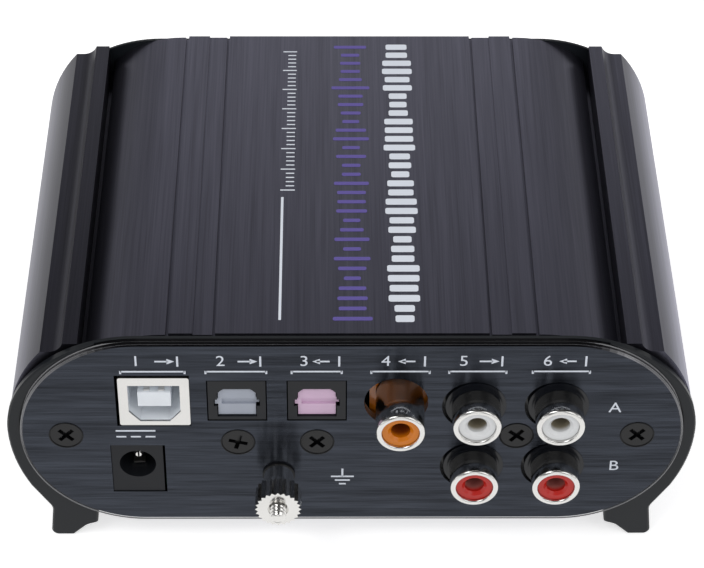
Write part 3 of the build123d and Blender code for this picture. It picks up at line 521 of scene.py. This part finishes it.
def smooth_piece(mesh, name, node, material):
    """Makes the mesh an object of the enclosure, in place of a CAD node where one is named."""
    bmesh.ops.recalc_face_normals(mesh, faces=mesh.faces)
    data = bpy.data.meshes.new(name)
    mesh.to_mesh(data)
    mesh.free()
    data.shade_smooth()
    data.materials.append(material)
    piece = new_object(name, data)
    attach(piece, "enclosure")
    if node:
        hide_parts(node)


def turned_barrels(material, sizes):
    """Phono and coaxial barrels with rounded lips."""
    low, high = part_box("coax_barrel")
    radius = (high.x - low.x) / 2
    phono_low, phono_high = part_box("rca_barrels")
    rows = (phono_low.z + radius, phono_high.z - radius)
    columns = (phono_low.x + radius, phono_high.x - radius)
    middles = [Vector((x, 0, z)) for x in columns for z in rows]
    bore = radius - sizes.wall
    neck = radius - sizes.neck
    outer, inner = sizes.lip, sizes.inner_lip
    for name, node, root, front, seat, places in (
        ("coax_barrel_turned", "coax_barrel", low.y, high.y, sizes.coax_seat, [(low + high) / 2]),
        ("rca_barrels_turned", "rca_barrels", phono_low.y, phono_high.y, sizes.phono_seat, middles),
    ):
        seat_y = REAR_FACE + seat
        profile = [(bore, root), (neck, root), (neck, seat_y), (radius, seat_y)]
        profile += rounding((radius - outer, front - outer), outer, 0, 90)
        profile += rounding((bore + inner, front - inner), inner, 90, 180)
        mesh = bmesh.new()
        for middle in places:
            lathe(mesh, middle, profile)
        smooth_piece(mesh, name, node, material)


def threaded_stud(material, sizes, around=32, per_turn=8):
    """Ground stud with its thread and a plain head inside."""
    low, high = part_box("ground_stud")
    middle = (low + high) / 2
    head_radius = (high.x - low.x) / 2
    shank = low.y + sizes.head
    centre = 0.05 * MM
    tip_radius = sizes.stud_radius - sizes.thread_depth * 1.6
    tip_slope = 0.8
    mesh = bmesh.new()
    head = [(centre, low.y), (head_radius, low.y), (head_radius, shank), (centre, shank)]
    lathe(mesh, middle, head, 6)
    rows = int((high.y - shank) / sizes.pitch * per_turn)
    rings = []
    for row in range(rows + 1):
        y = shank + (high.y - shank) * row / rows
        ring = []
        for step in range(around):
            share = step / around
            phase = (y / sizes.pitch - share) % 1.0
            radius = sizes.stud_radius - sizes.thread_depth * abs(2 * phase - 1)
            radius = min(radius, tip_radius + (high.y - y) * tip_slope)
            ring.append(mesh.verts.new(turned_point(middle, y, radius, share)))
        rings.append(ring)
    skin_over(mesh, rings, closed=False)
    mesh.faces.new(rings[-1])
    mesh.faces.new(rings[0][::-1])
    smooth_piece(mesh, "ground_stud_threaded", "ground_stud", material)


def screw_rims(material, sizes):
    """Dark rings round the countersunk heads on the rear plate: painted shade of the gap round each
    head.
    """
    open_ring, points, around = 330, 11, 48
    mesh = bmesh.new()
    for node, count in (("rear_end_screws", 2), ("optical_screws", 2), ("rca_block_screw", 1)):
        low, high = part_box(node)
        radius = (high.z - low.z) / 2
        for x in (low.x + radius, high.x - radius)[:count]:
            middle = Vector((x, 0, (low.z + high.z) / 2))
            rim = rounding((radius, REAR_FACE), sizes.rim, 0, open_ring, points)
            lathe(mesh, middle, rim, around)
    smooth_piece(mesh, "screw_rims", None, material)


def tube_round(mesh, outline, middle, y, thickness, around=8):
    """Closed tube along an outline of (x, z) points; thickness(outward z) is its radius."""
    stand_off = 0.6
    rings = []
    for i, point in enumerate(outline):
        ahead, behind = outline[(i + 1) % len(outline)], outline[i - 1]
        out = Vector((ahead.y - behind.y, behind.x - ahead.x)).normalized()
        if out.dot(point - middle) < 0:
            out = -out
        radius = thickness(out.y)
        ring = []
        for step in range(around):
            angle = 2 * math.pi * step / around
            place = point + out * radius * (stand_off + math.cos(angle))
            ring.append(mesh.verts.new((place.x, y + radius * math.sin(angle), place.y)))
        rings.append(ring)
    skin_over(mesh, rings)


def lip_lines(material, sizes):
    """Painted highlights as thin tubes: along the lip of each end frame, and along the lower edge
    of its plate.
    """
    # The lip's painted highlight is widest where the lip faces up and outward, and all but gone at
    # the very top, the sides and below.
    def lip(up):
        rise, fall, least = 4 * (up - 0.2), 40 * (0.985 - up), 0.05
        return sizes.lip_line * min(max(min(rise, fall), least), 1.0)

    # The plate's painted highlight is widest along the bottom.
    def rubbed(up):
        least = 0.1
        return sizes.edge_line * min(max(0.4 - up, least), 1.0)

    mesh = bmesh.new()
    for plate, bezel, side in (("rear_panel", "rear_bezel", 1), ("front_panel", "front_bezel", 0)):
        points = [Vector((v.co.x, v.co.z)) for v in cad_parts[plate].data.vertices]
        outline = [points[i] for i in convex_hull_2d(points)]
        middle = box_middle(plate).xz
        tube_round(mesh, outline, middle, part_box(bezel)[side].y, lip)
        inward = sizes.edge_line if side else -sizes.edge_line
        tube_round(mesh, outline, middle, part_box(plate)[side].y - inward, rubbed)
    smooth_piece(mesh, "lip_lines", None, material)


# ---- print
class Ink:
    """Collects flat shapes, drawn in millimetres, for one layer of print."""

    def __init__(self, place, thickness, lift):
        self.place = place
        self.thickness = thickness / MM
        self.lift = lift / MM
        self.mesh = bmesh.new()

    def prism(self, outline):
        height = self.lift + self.thickness
        floor = [self.mesh.verts.new(self.place(u, v, self.lift)) for u, v in outline]
        top = [self.mesh.verts.new(self.place(u, v, height)) for u, v in outline]
        self.mesh.faces.new(top)
        self.mesh.faces.new(floor[::-1])
        skin_over(self.mesh, [floor, top], closed=False)

    def bar(self, u, v, width, height, corner=0.0):
        """Rectangle centred on u and v, with rounded corners."""
        radius = min(corner, width / 2, height / 2)
        quarters = ((1, 1), (-1, 1), (-1, -1), (1, -1))
        if radius <= 0:
            self.prism([(u + a * width / 2, v + b * height / 2) for a, b in quarters])
            return
        steps = 4
        points = []
        for quarter, (a, b) in enumerate(quarters):
            for step in range(steps + 1):
                angle = math.pi / 2 * (quarter + step / steps)
                points.append((
                    u + a * (width / 2 - radius) + radius * math.cos(angle),
                    v + b * (height / 2 - radius) + radius * math.sin(angle),
                ))
        self.prism(points)

    def line(self, start, end, width):
        """Straight stroke between two points."""
        a, b = Vector(start), Vector(end)
        along = b - a
        across = Vector((-along.y, along.x)).normalized() * width / 2
        self.prism([a - across, b - across, b + across, a + across])

    def arc(self, u, v, radius, width, start, sweep, steps):
        """Arc drawn as short strokes of one ribbon, its angles in degrees."""
        inner, outer = radius - width / 2, radius + width / 2
        for i in range(steps):
            a, b = (math.radians(start + sweep * (i + k) / steps) for k in (0, 1))
            corners = ((inner, a), (outer, a), (outer, b), (inner, b))
            self.prism([(u + r * math.cos(turn), v + r * math.sin(turn)) for r, turn in corners])

    def triangle(self, u, v, size, direction):
        """Arrow head that points along direction, in degrees."""
        turn = math.radians(direction)
        cos, sin = math.cos(turn), math.sin(turn)
        corners = ((size, 0), (-size * 0.6, size * 0.75), (-size * 0.6, -size * 0.75))
        self.prism([(u + a * cos - b * sin, v + a * sin + b * cos) for a, b in corners])

    def numeral(self, text, u, v, height):
        """Plain numerals or letters centred on u and v."""
        share_of_size = 0.7
        curve = bpy.data.curves.new("numeral", "FONT")
        curve.body = text
        curve.align_x = "CENTER"
        curve.align_y = "CENTER"
        curve.size = height / share_of_size
        curve.resolution_u = 4
        carrier = new_object("numeral", curve)
        flat = carrier.to_mesh()
        depth = self.lift + self.thickness
        top = [
            self.mesh.verts.new(self.place(u + p.co.x, v + p.co.y, depth)) for p in flat.vertices
        ]
        for face in flat.polygons:
            self.mesh.faces.new([top[i] for i in face.vertices])
        carrier.to_mesh_clear()
        bpy.data.objects.remove(carrier)
        bpy.data.curves.remove(curve)

    def build(self, name, body, material, slot):
        data = bpy.data.meshes.new(name)
        self.mesh.to_mesh(data)
        self.mesh.free()
        data.materials.append(material)
        piece = new_object(name, data)
        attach(piece, body)


def on_rear(u, v, depth):
    """Rear plate, seen from behind: u to the right, v up from the centre line."""
    return Vector((-u * MM, REAR_FACE + depth * MM, PANEL_CENTRE_Z + v * MM))


def on_front(u, v, depth):
    """Front plate, seen from the front."""
    return Vector((u * MM, FRONT_FACE - depth * MM, PANEL_CENTRE_Z + v * MM))


def on_crown(u, v, depth):
    """Case top, seen from behind the connector end: u to the right, v away from that end."""
    return Vector((-u * MM, -v * MM, CROWN_Z + depth * MM))


# ---- operators
class PREAMP_OT_groups(bpy.types.Operator):
    """Builds the shared shader groups and the inks"""

    bl_idname = "preamp.groups"
    bl_label = "Shader groups"

    def execute(self, context):
        brushed_group()
        moulded_group()
        edge_group()
        depth_group()
        tones = finishes()
        for name, tone in (("White ink", tones.ink_white), ("Violet ink", tones.ink_violet)):
            moulded(name, tone, roughness=0.5, uneven=0.05, skin=0.0, specular=0.3)
        return {"FINISHED"}


class PREAMP_OT_case(bpy.types.Operator):
    """Finishes the extruded case, end plates and end frames"""

    bl_idname = "preamp.case"
    bl_label = "Case"

    def execute(self, context):
        tones = finishes()
        run, across = (1.0, 0.012, 1.0), (1, 0, 0)
        extrusion = brushed_metal("Anodised extrusion", tones.anodised, run, across)
        shaded_flanks(extrusion)
        dress(extrusion, "case_shell")
        run, across = (0.03, 1.0, 1.0), (0, 0, 1)
        plates = brushed_metal("Brushed plates", tones.panel, run, across, 0.66, 0.24)
        # Painted highlight and shade on the plates' edges.
        tinted_edges(plates)
        dress(plates, "rear_panel", "front_panel")
        bezels = "rear_bezel", "front_bezel"
        paint("Slate paint", tones.slate, *bezels, roughness=0.36, specular=0.28)
        # Thin tubes in the edge highlight's colour: painted highlights on the frames' lips and the
        # plates' lower edges.
        lip_lines(moulded("Painted lip highlight", tones.edge_light, roughness=0.3), context.scene.preamp_turned)
        return {"FINISHED"}


class PREAMP_OT_fasteners(bpy.types.Operator):
    """Finishes the screws"""

    bl_idname = "preamp.fasteners"
    bl_label = "Screws"

    def execute(self, context):
        tone = finishes().screw_black
        screws = "rear_end_screws", "front_end_screws", "optical_screws", "rca_block_screw"
        paint("Black oxide", tone, *screws, roughness=0.2, specular=0.36)
        # Dark rings of painted shade round the screw heads, in the screws' black.
        rim = moulded("Painted rim shade", tone, roughness=0.3, specular=0.2)
        screw_rims(rim, context.scene.preamp_turned)
        return {"FINISHED"}


class PREAMP_OT_sockets(bpy.types.Operator):
    """Finishes the power, square, optical and phono sockets"""

    bl_idname = "preamp.sockets"
    bl_label = "Sockets"

    def execute(self, context):
        tones = finishes()
        black, nickel = tones.plastic_black, tones.nickel
        bodies = "optical_out_body", "optical_in_body", "headphone_jack"
        paint("Black plastic", black, *bodies, roughness=0.35, specular=0.32)
        paint("Glossy block", black, "rca_block_body", roughness=0.22, specular=0.3, coat=0.25)
        paint("Power socket plastic", black, "dc_jack_body", roughness=0.5, specular=0.3)
        paint("Plated shell", nickel, "usb_shell", roughness=0.26, metallic=1.0, uneven=0.06)
        turned = "rca_barrels", "coax_barrel", "dc_jack_pin", "headphone_nut"
        looks = {"roughness": 0.16, "metallic": 1.0, "uneven": 0.05}
        polished = paint("Polished nickel", nickel, *turned, **looks)
        turned_barrels(polished, context.scene.preamp_turned)
        springs = "rca_contacts", "coax_contact", "headphone_spring"
        paint("Spring metal", tones.brass, *springs, roughness=0.3, metallic=1.0)
        paint("Plated contacts", nickel, "usb_contacts", roughness=0.4, metallic=0.6)
        paint("Steel spring", nickel, "dc_jack_spring", roughness=0.35, metallic=1.0)
        paint("Insulator", tones.socket_blue, "usb_insulator", roughness=0.42)
        for name, tone, depth, node in (
            ("White moulding", tones.insert_white, tones.depth_white, "rca_inserts_white"),
            ("Red moulding", tones.insert_red, tones.depth_red, "rca_inserts_red"),
            ("Orange moulding", tones.insert_orange, tones.depth_orange, "coax_insert"),
        ):
            insert = paint(name, tone, node, roughness=0.22, coat=0.2, specular=0.35)
            # Painted shade down the insert's hole.
            dark_depth(insert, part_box(node)[1].y, depth)
        paint("Orange housing", tones.body_orange, "coax_body", roughness=0.2, coat=0.5)
        paint("Grey shutter", tones.shutter_grey, "optical_out_door", roughness=0.38)
        paint("Pink shutter", tones.shutter_pink, "optical_in_door", roughness=0.38)
        return {"FINISHED"}


class PREAMP_OT_ground_post(bpy.types.Operator):
    """Finishes the ground post"""

    bl_idname = "preamp.ground_post"
    bl_label = "Ground post"

    def execute(self, context):
        tones = finishes()
        post = "ground_stud", "ground_nut", "ground_lock_nut", "ground_lug"
        looks = {"roughness": 0.14, "metallic": 1.0, "uneven": 0.08}
        bright = paint("Bright post", tones.nickel, *post, **looks)
        paint("Dark washer", tones.screw_black, "ground_washer", roughness=0.4, specular=0.3)
        threaded_stud(bright, context.scene.preamp_turned)
        return {"FINISHED"}


class PREAMP_OT_controls(bpy.types.Operator):
    """Finishes the dials, keys and lamps of the control end"""

    bl_idname = "preamp.controls"
    bl_label = "Dials, keys and lamps"

    def execute(self, context):
        tones = finishes()
        knobs = "gain_knob", "monitor_knob", "low_cut_button", "input_button", "mono_button"
        paint("Knob plastic", tones.knob_black, *knobs, roughness=0.38)
        shafts = "gain_shaft", "monitor_shaft", "pot_nuts", "gain_pot", "monitor_pot"
        paint("Shaft steel", tones.steel, *shafts, roughness=0.3, metallic=1.0)
        paint("Lamp lens", tones.lamp, "status_lamps", roughness=0.15, coat=0.5)
        return {"FINISHED"}


class PREAMP_OT_boards(bpy.types.Operator):
    """Finishes the circuit boards and what they carry"""

    bl_idname = "preamp.boards"
    bl_label = "Boards"

    def execute(self, context):
        tones = finishes()
        boards = "main_board", "upper_board", "front_board"
        paint("Solder mask", tones.board_green, *boards, roughness=0.35)
        chips = "op_amps", "converter_chip", "voltage_regulator", "board_header"
        package = paint("Chip package", tones.plastic_black, *chips, roughness=0.5)
        dress(package, "button_switches", "optical_modules")
        paint("Capacitor sleeve", tones.sleeve, "capacitors", roughness=0.3)
        return {"FINISHED"}


def new_ink(place):
    sizes = bpy.context.scene.preamp_print
    return Ink(place, sizes.thickness, sizes.lift)


def socket_label(ink, number, u, width, outward, height, stroke):
    """Number, arrow, divider and bracket over a socket."""
    row, rule, tick = 17.0, 14.7, 0.55
    tail, neck, head, divider = 1.7, 0.5, 0.8, 2.1
    ink.numeral(number, u - width * 0.25, row, height)
    arrow = u + width * 0.2
    ink.line((arrow - tail, row), (arrow + neck, row), stroke)
    ink.triangle(arrow + (head if outward else -2 * head), row, head, 0 if outward else 180)
    ink.line((arrow + divider, row - height / 2), (arrow + divider, row + height / 2), stroke)
    ink.line((u - width / 2, rule), (u + width / 2, rule), stroke)
    for side in (-1, 1):
        end = u + side * width / 2
        ink.line((end, rule + stroke / 2), (end, rule - tick), stroke)


def current_symbol(ink, u, stroke):
    """Long rule over three short ones."""
    half, over, under, dash, pitch = 3.4, 0.9, -0.5, 1.7, 2.5
    ink.line((u - half, over), (u + half, over), stroke)
    for step in (-1, 0, 1):
        ink.bar(u + step * pitch, under, dash, stroke)


def earth_symbol(ink, u, v, stroke):
    """Stem over three shrinking rules."""
    stem, gap, halves = 1.9, 0.9, (2.0, 1.3, 0.6)
    ink.line((u, v + stem), (u, v), stroke)
    for step, half in enumerate(halves):
        ink.line((u - half, v - step * gap), (u + half, v - step * gap), stroke)


class PREAMP_OT_rear_print(bpy.types.Operator):
    """Prints numbers, letters and symbols on the rear plate"""

    bl_idname = "preamp.rear_print"
    bl_label = "Rear print"

    def execute(self, context):
        sizes = context.scene.preamp_print
        stroke = sizes.stroke / MM
        height = sizes.numeral / MM
        ink = new_ink(on_rear)
        sockets = (
            ("1", "usb_shell", 10.8, True),
            ("2", "optical_out_door", 10.2, True),
            ("3", "optical_in_door", 8.4, False),
            ("4", "coax_barrel", 9.8, False),
        )
        places = [(n, -box_middle(node).x / MM, width, out) for n, node, width, out in sockets]
        low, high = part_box("rca_barrels")
        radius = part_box("coax_barrel")[1].x - box_middle("coax_barrel").x
        places.append(("5", -(high.x - radius) / MM, 9.6, True))
        places.append(("6", -(low.x + radius) / MM, 9.6, False))
        for number, u, width, outward in places:
            socket_label(ink, number, u, width, outward, height, stroke)
        current_symbol(ink, -box_middle("dc_jack_body").x / MM, stroke)
        earth_symbol(ink, -1.6, -10.2, stroke)
        for letter, u, v in (("A", 44.8, 6.2), ("B", 45.5, -7.7)):
            ink.numeral(letter, u, v, height)
        ink.build("rear_print", "enclosure", bpy.data.materials["White ink"], "anodised")
        return {"FINISHED"}


def ripple(step, least, slow, fast, shift=0.0):
    """Share of the full width that a bar of the plain pattern has."""
    swing = abs(math.sin(step * slow + shift)) * abs(math.cos(step * fast))
    return least + (1 - least) * swing


class PREAMP_OT_top_print(bpy.types.Operator):
    """Prints two level patterns, a scale and a ruled line on the crown"""

    bl_idname = "preamp.top_print"
    bl_label = "Top print"

    def execute(self, context):
        sizes = context.scene.preamp_print
        pitch = sizes.bar_pitch / MM
        bar = sizes.bar_length / MM
        start, end = -39.0, 39.4
        white_at, white_width, white_corner = 8.9, 6.4, 0.4
        violet_at, violet_width, violet_corner = 0.1, 7.2, 0.3
        scale_at, scale_start, scale_end, scale_pitch, scale_stroke = -10.9, -4.5, 39.8, 1.2, 0.3
        rule_at, rule_middle, rule_stroke, rule_run = -12.2, -22.9, 0.45, 32.8
        white = new_ink(on_crown)
        violet = new_ink(on_crown)
        for step in range(int((end - start) / pitch) + 1):
            v = start + step * pitch
            swell = ripple(step, 0.5, 0.41, 1.37)
            white.bar(white_at, v, white_width * swell, bar, white_corner)
            dip = ripple(step, 0.4, 0.53, 1.13, 1.1)
            violet.bar(violet_at, v, violet_width * dip, bar * 0.55, violet_corner)
        for step in range(int((scale_end - scale_start) / scale_pitch)):
            shift, tick = (0.4, 2.6) if step % 5 == 0 else (0.0, 1.5)
            v = scale_start + step * scale_pitch
            white.bar(scale_at - shift, v, tick, scale_stroke)
        white.bar(rule_at, rule_middle, rule_stroke, rule_run)
        white.build("top_print_white", "enclosure", bpy.data.materials["White ink"], "anodised")
        violet.build("top_print_violet", "enclosure", bpy.data.materials["Violet ink"], "anodised")
        return {"FINISHED"}


def dial_scale(ink, u, v, sizes):
    """Ticks and numbers round a dial, open at its foot."""
    inner, outer, height, sweep = 8.0, 8.9, 1.5, 300
    radius, stroke = sizes.dial_numerals / MM, sizes.stroke / MM
    for step in range(sizes.dial_steps + 1):
        turn = math.radians(sweep / 2 - sweep * step / sizes.dial_steps) + math.pi / 2
        a, b = math.cos(turn), math.sin(turn)
        ink.line((u + inner * a, v + inner * b), (u + outer * a, v + outer * b), stroke)
        if step % 2 == 0:
            ink.numeral(str(step), u + radius * a, v + radius * b, height)


def knob_line(knob, body, u, v, sizes):
    """White line in the pointer groove of a knob."""
    above, width, run, sunk = 3.3, 0.7, 5.6, 0.3 * MM
    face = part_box(knob)[0].y

    def on_knob(p, q, depth):
        return Vector((p * MM, face - depth * MM, PANEL_CENTRE_Z + q * MM))

    pointer = Ink(on_knob, sizes.thickness, -sunk)
    pointer.bar(u, v + above, width, run)
    pointer.build(body + "_line", body, bpy.data.materials["White ink"], "knob_black")


def headphone_symbol(ink, u, v, stroke):
    """Band over two cups."""
    radius, drop, width, height, corner = 1.7, 0.6, 0.8, 1.5, 0.3
    ink.arc(u, v, radius, stroke, 0, 180, 14)
    for side in (-1, 1):
        ink.bar(u + side * radius, v - drop, width, height, corner)


class PREAMP_OT_front_print(bpy.types.Operator):
    """Prints dial scales, key numbers and symbols on the front plate, and a line on each knob"""

    bl_idname = "preamp.front_print"
    bl_label = "Front print"

    def execute(self, context):
        sizes = context.scene.preamp_print
        stroke = sizes.stroke / MM
        ink = new_ink(on_front)
        for knob, body in (("gain_knob", "gain_dial"), ("monitor_knob", "monitor_dial")):
            middle = box_middle(knob)
            u, v = middle.x / MM, (middle.z - PANEL_CENTRE_Z) / MM
            dial_scale(ink, u, v, sizes)
            knob_line(knob, body, u, v, sizes)
        number_at, number_height, rule_top, rule_foot = 9.2, 1.7, 3.3, -1.9
        for number, key in zip("123", ("low_cut_button", "input_button", "mono_button")):
            u = box_middle(key).x / MM
            ink.numeral(number, u, number_at, number_height)
            ink.line((u, rule_top), (u, rule_foot), stroke * 0.7)
        phones = box_middle("headphone_nut")
        above = 8.2
        v = (phones.z - PANEL_CENTRE_Z) / MM + above
        headphone_symbol(ink, phones.x / MM, v, stroke)
        ink.build("front_print", "enclosure", bpy.data.materials["White ink"], "anodised")
        return {"FINISHED"}


class PREAMP_OT_studio(bpy.types.Operator):
    """Sets up floor, world light, lamps and camera"""

    bl_idname = "preamp.studio"
    bl_label = "Studio"

    def execute(self, context):
        settings = context.scene.preamp_studio
        floor_stage(settings)
        world_light(context, settings)
        lamps(settings)
        camera(context, settings)
        context.scene.view_settings.view_transform = "Standard"
        return {"FINISHED"}


def floor_stage(settings):
    """Pale floor that shines white where it is seen, and in reflections near the case."""
    half, near, far = 4.0, 0.15, 0.6
    corners = [(-half, -half, 0), (half, -half, 0), (half, half, 0), (-half, half, 0)]
    data = bpy.data.meshes.new("floor")
    data.from_pydata(corners, [], [(0, 1, 2, 3)])
    floor = new_object("floor", data)
    material, shader = finish("Pale floor", roughness=1.0, specular=0.0)
    shader.inputs["Base Color"].default_value = (*settings.floor_colour, 1.0)
    tree = Wiring(material.node_tree)
    seen = tree.seen_by("Camera", "Transmission")
    glow = tree.add("Emission")
    strength = tree.maths("MULTIPLY", seen, settings.floor_glow)
    tree.link(strength, glow.inputs["Strength"])
    add = tree.add("AddShader")
    tree.link(shader.outputs[0], add.inputs[0])
    tree.link(glow.outputs[0], add.inputs[1])
    place = tree.add("TexCoord")
    reach = tree.add("VectorMath")
    reach.operation = "LENGTH"
    tree.link(place.outputs["Object"], reach.inputs[0])
    mirrored = tree.add("Emission")
    strength = tree.fade(reach.outputs["Value"], near, far, 1.0, settings.far_floor)
    tree.link(strength, mirrored.inputs["Strength"])
    result = tree.mixed_shader(tree.seen_by("Glossy"), add.outputs[0], mirrored.outputs[0])
    tree.link(result, tree.nodes["Material Output"].inputs["Surface"])
    data.materials.append(material)


def world_light(context, settings):
    """Even light for matt surfaces. Shiny ones see white low all round, and a dim sky above."""
    dim_above, dim_aside = (0.5, 0.75), (0.1, 0.36)
    bright_aside, bright_below = (0.4, 0.56), (0.1, 0.42)
    world = bpy.data.worlds.new("Studio")
    context.scene.world = world
    world.use_nodes = True
    tree = Wiring(world.node_tree)
    even, shown = tree.nodes["Background"], tree.add("Background")
    for background in (even, shown):
        background.inputs["Color"].default_value = (1.0, 1.0, 1.0, 1.0)
    even.inputs["Strength"].default_value = settings.world_light
    place = tree.coordinates("Generated")
    aside = tree.maths("ABSOLUTE", place["X"])
    height = tree.fade(place["Z"], *dim_above, 1.0, settings.zenith)
    sides = tree.fade(aside, *dim_aside, 1.0, settings.flanks)
    sky = tree.maths("MULTIPLY", height, sides)
    wide = tree.fade(aside, *bright_aside, 0.0, 1.0)
    low = tree.fade(place["Z"], *bright_below, 1.0, 0.0)
    sky = tree.maths("MAXIMUM", sky, tree.maths("MULTIPLY", wide, low))
    sky = tree.maths("MAXIMUM", tree.seen_by("Camera"), sky)
    tree.link(sky, shown.inputs["Strength"])
    seen = tree.seen_by("Camera", "Glossy", "Transmission")
    result = tree.mixed_shader(seen, even.outputs[0], shown.outputs[0])
    tree.link(result, tree.nodes["World Output"].inputs["Surface"])


def lamps(settings):
    """Two wide lamps, in metres, both aimed at the case."""
    aim = Vector((0, 0, PANEL_CENTRE_Z))
    for name, place, size, power in (
        ("key", (0.7, 0.5, 1.2), (0.9, 0.6), settings.key_power),
        ("fill", (-0.8, 0.8, 0.8), (0.8, 0.8), settings.fill_power),
    ):
        data = bpy.data.lights.new(name, "AREA")
        data.shape = "RECTANGLE"
        data.size, data.size_y = size
        data.energy = power
        lamp = new_object(name, data)
        lamp.location = place
        lamp.rotation_euler = (aim - Vector(place)).to_track_quat("-Z", "Y").to_euler()


def camera(context, settings):
    """Camera behind the connector end, looking down on it."""
    yaw, pitch, roll = settings.yaw, settings.pitch, settings.roll
    cos, sin = math.cos, math.sin
    forward = Vector((-sin(yaw) * cos(pitch), -cos(yaw) * cos(pitch), -sin(pitch)))
    level = Vector((-cos(yaw), sin(yaw), 0))
    upward = level.cross(forward)
    right = cos(roll) * level + sin(roll) * upward
    up = cos(roll) * upward - sin(roll) * level
    data = bpy.data.cameras.new("camera")
    data.lens = settings.lens
    data.clip_start = 0.01
    seat = new_object("camera", data)
    rotation = Matrix((right, up, -forward)).transposed().to_4x4()
    place = Matrix.Translation((settings.camera_x, settings.camera_y, settings.camera_z))
    seat.matrix_world = place @ rotation
    context.scene.camera = seat


# ---- panel
STEPS = (
    PREAMP_OT_groups,
    PREAMP_OT_case,
    PREAMP_OT_fasteners,
    PREAMP_OT_sockets,
    PREAMP_OT_ground_post,
    PREAMP_OT_controls,
    PREAMP_OT_boards,
    PREAMP_OT_rear_print,
    PREAMP_OT_top_print,
    PREAMP_OT_front_print,
    PREAMP_OT_studio,
)


class PREAMP_PT_panel(bpy.types.Panel):
    """Lists the preamp's pieces"""

    bl_idname = "PREAMP_PT_panel"
    bl_label = "Phono Preamp"
    bl_space_type = "VIEW_3D"
    bl_region_type = "UI"
    bl_category = "Preamp"

    def draw(self, context):
        for step in STEPS:
            self.layout.operator(step.bl_idname)


SETTINGS = {
    "preamp_finishes": PreampFinishes,
    "preamp_print": PreampPrint,
    "preamp_turned": PreampTurned,
    "preamp_studio": PreampStudio,
}


def register():
    for kind in (*SETTINGS.values(), *STEPS, PREAMP_PT_panel):
        bpy.utils.register_class(kind)
    for name, kind in SETTINGS.items():
        setattr(bpy.types.Scene, name, PointerProperty(type=kind))


def unregister():
    for name in SETTINGS:
        delattr(bpy.types.Scene, name)
    for kind in (PREAMP_PT_panel, *reversed(STEPS), *SETTINGS.values()):
        bpy.utils.unregister_class(kind)


def main():
    register()
    for step in STEPS:
        area, name = step.bl_idname.split(".")
        if getattr(getattr(bpy.ops, area), name)() != {"FINISHED"}:
            raise RuntimeError(f"{step.bl_label} did not finish")


if __name__ == "__main__":
    main()
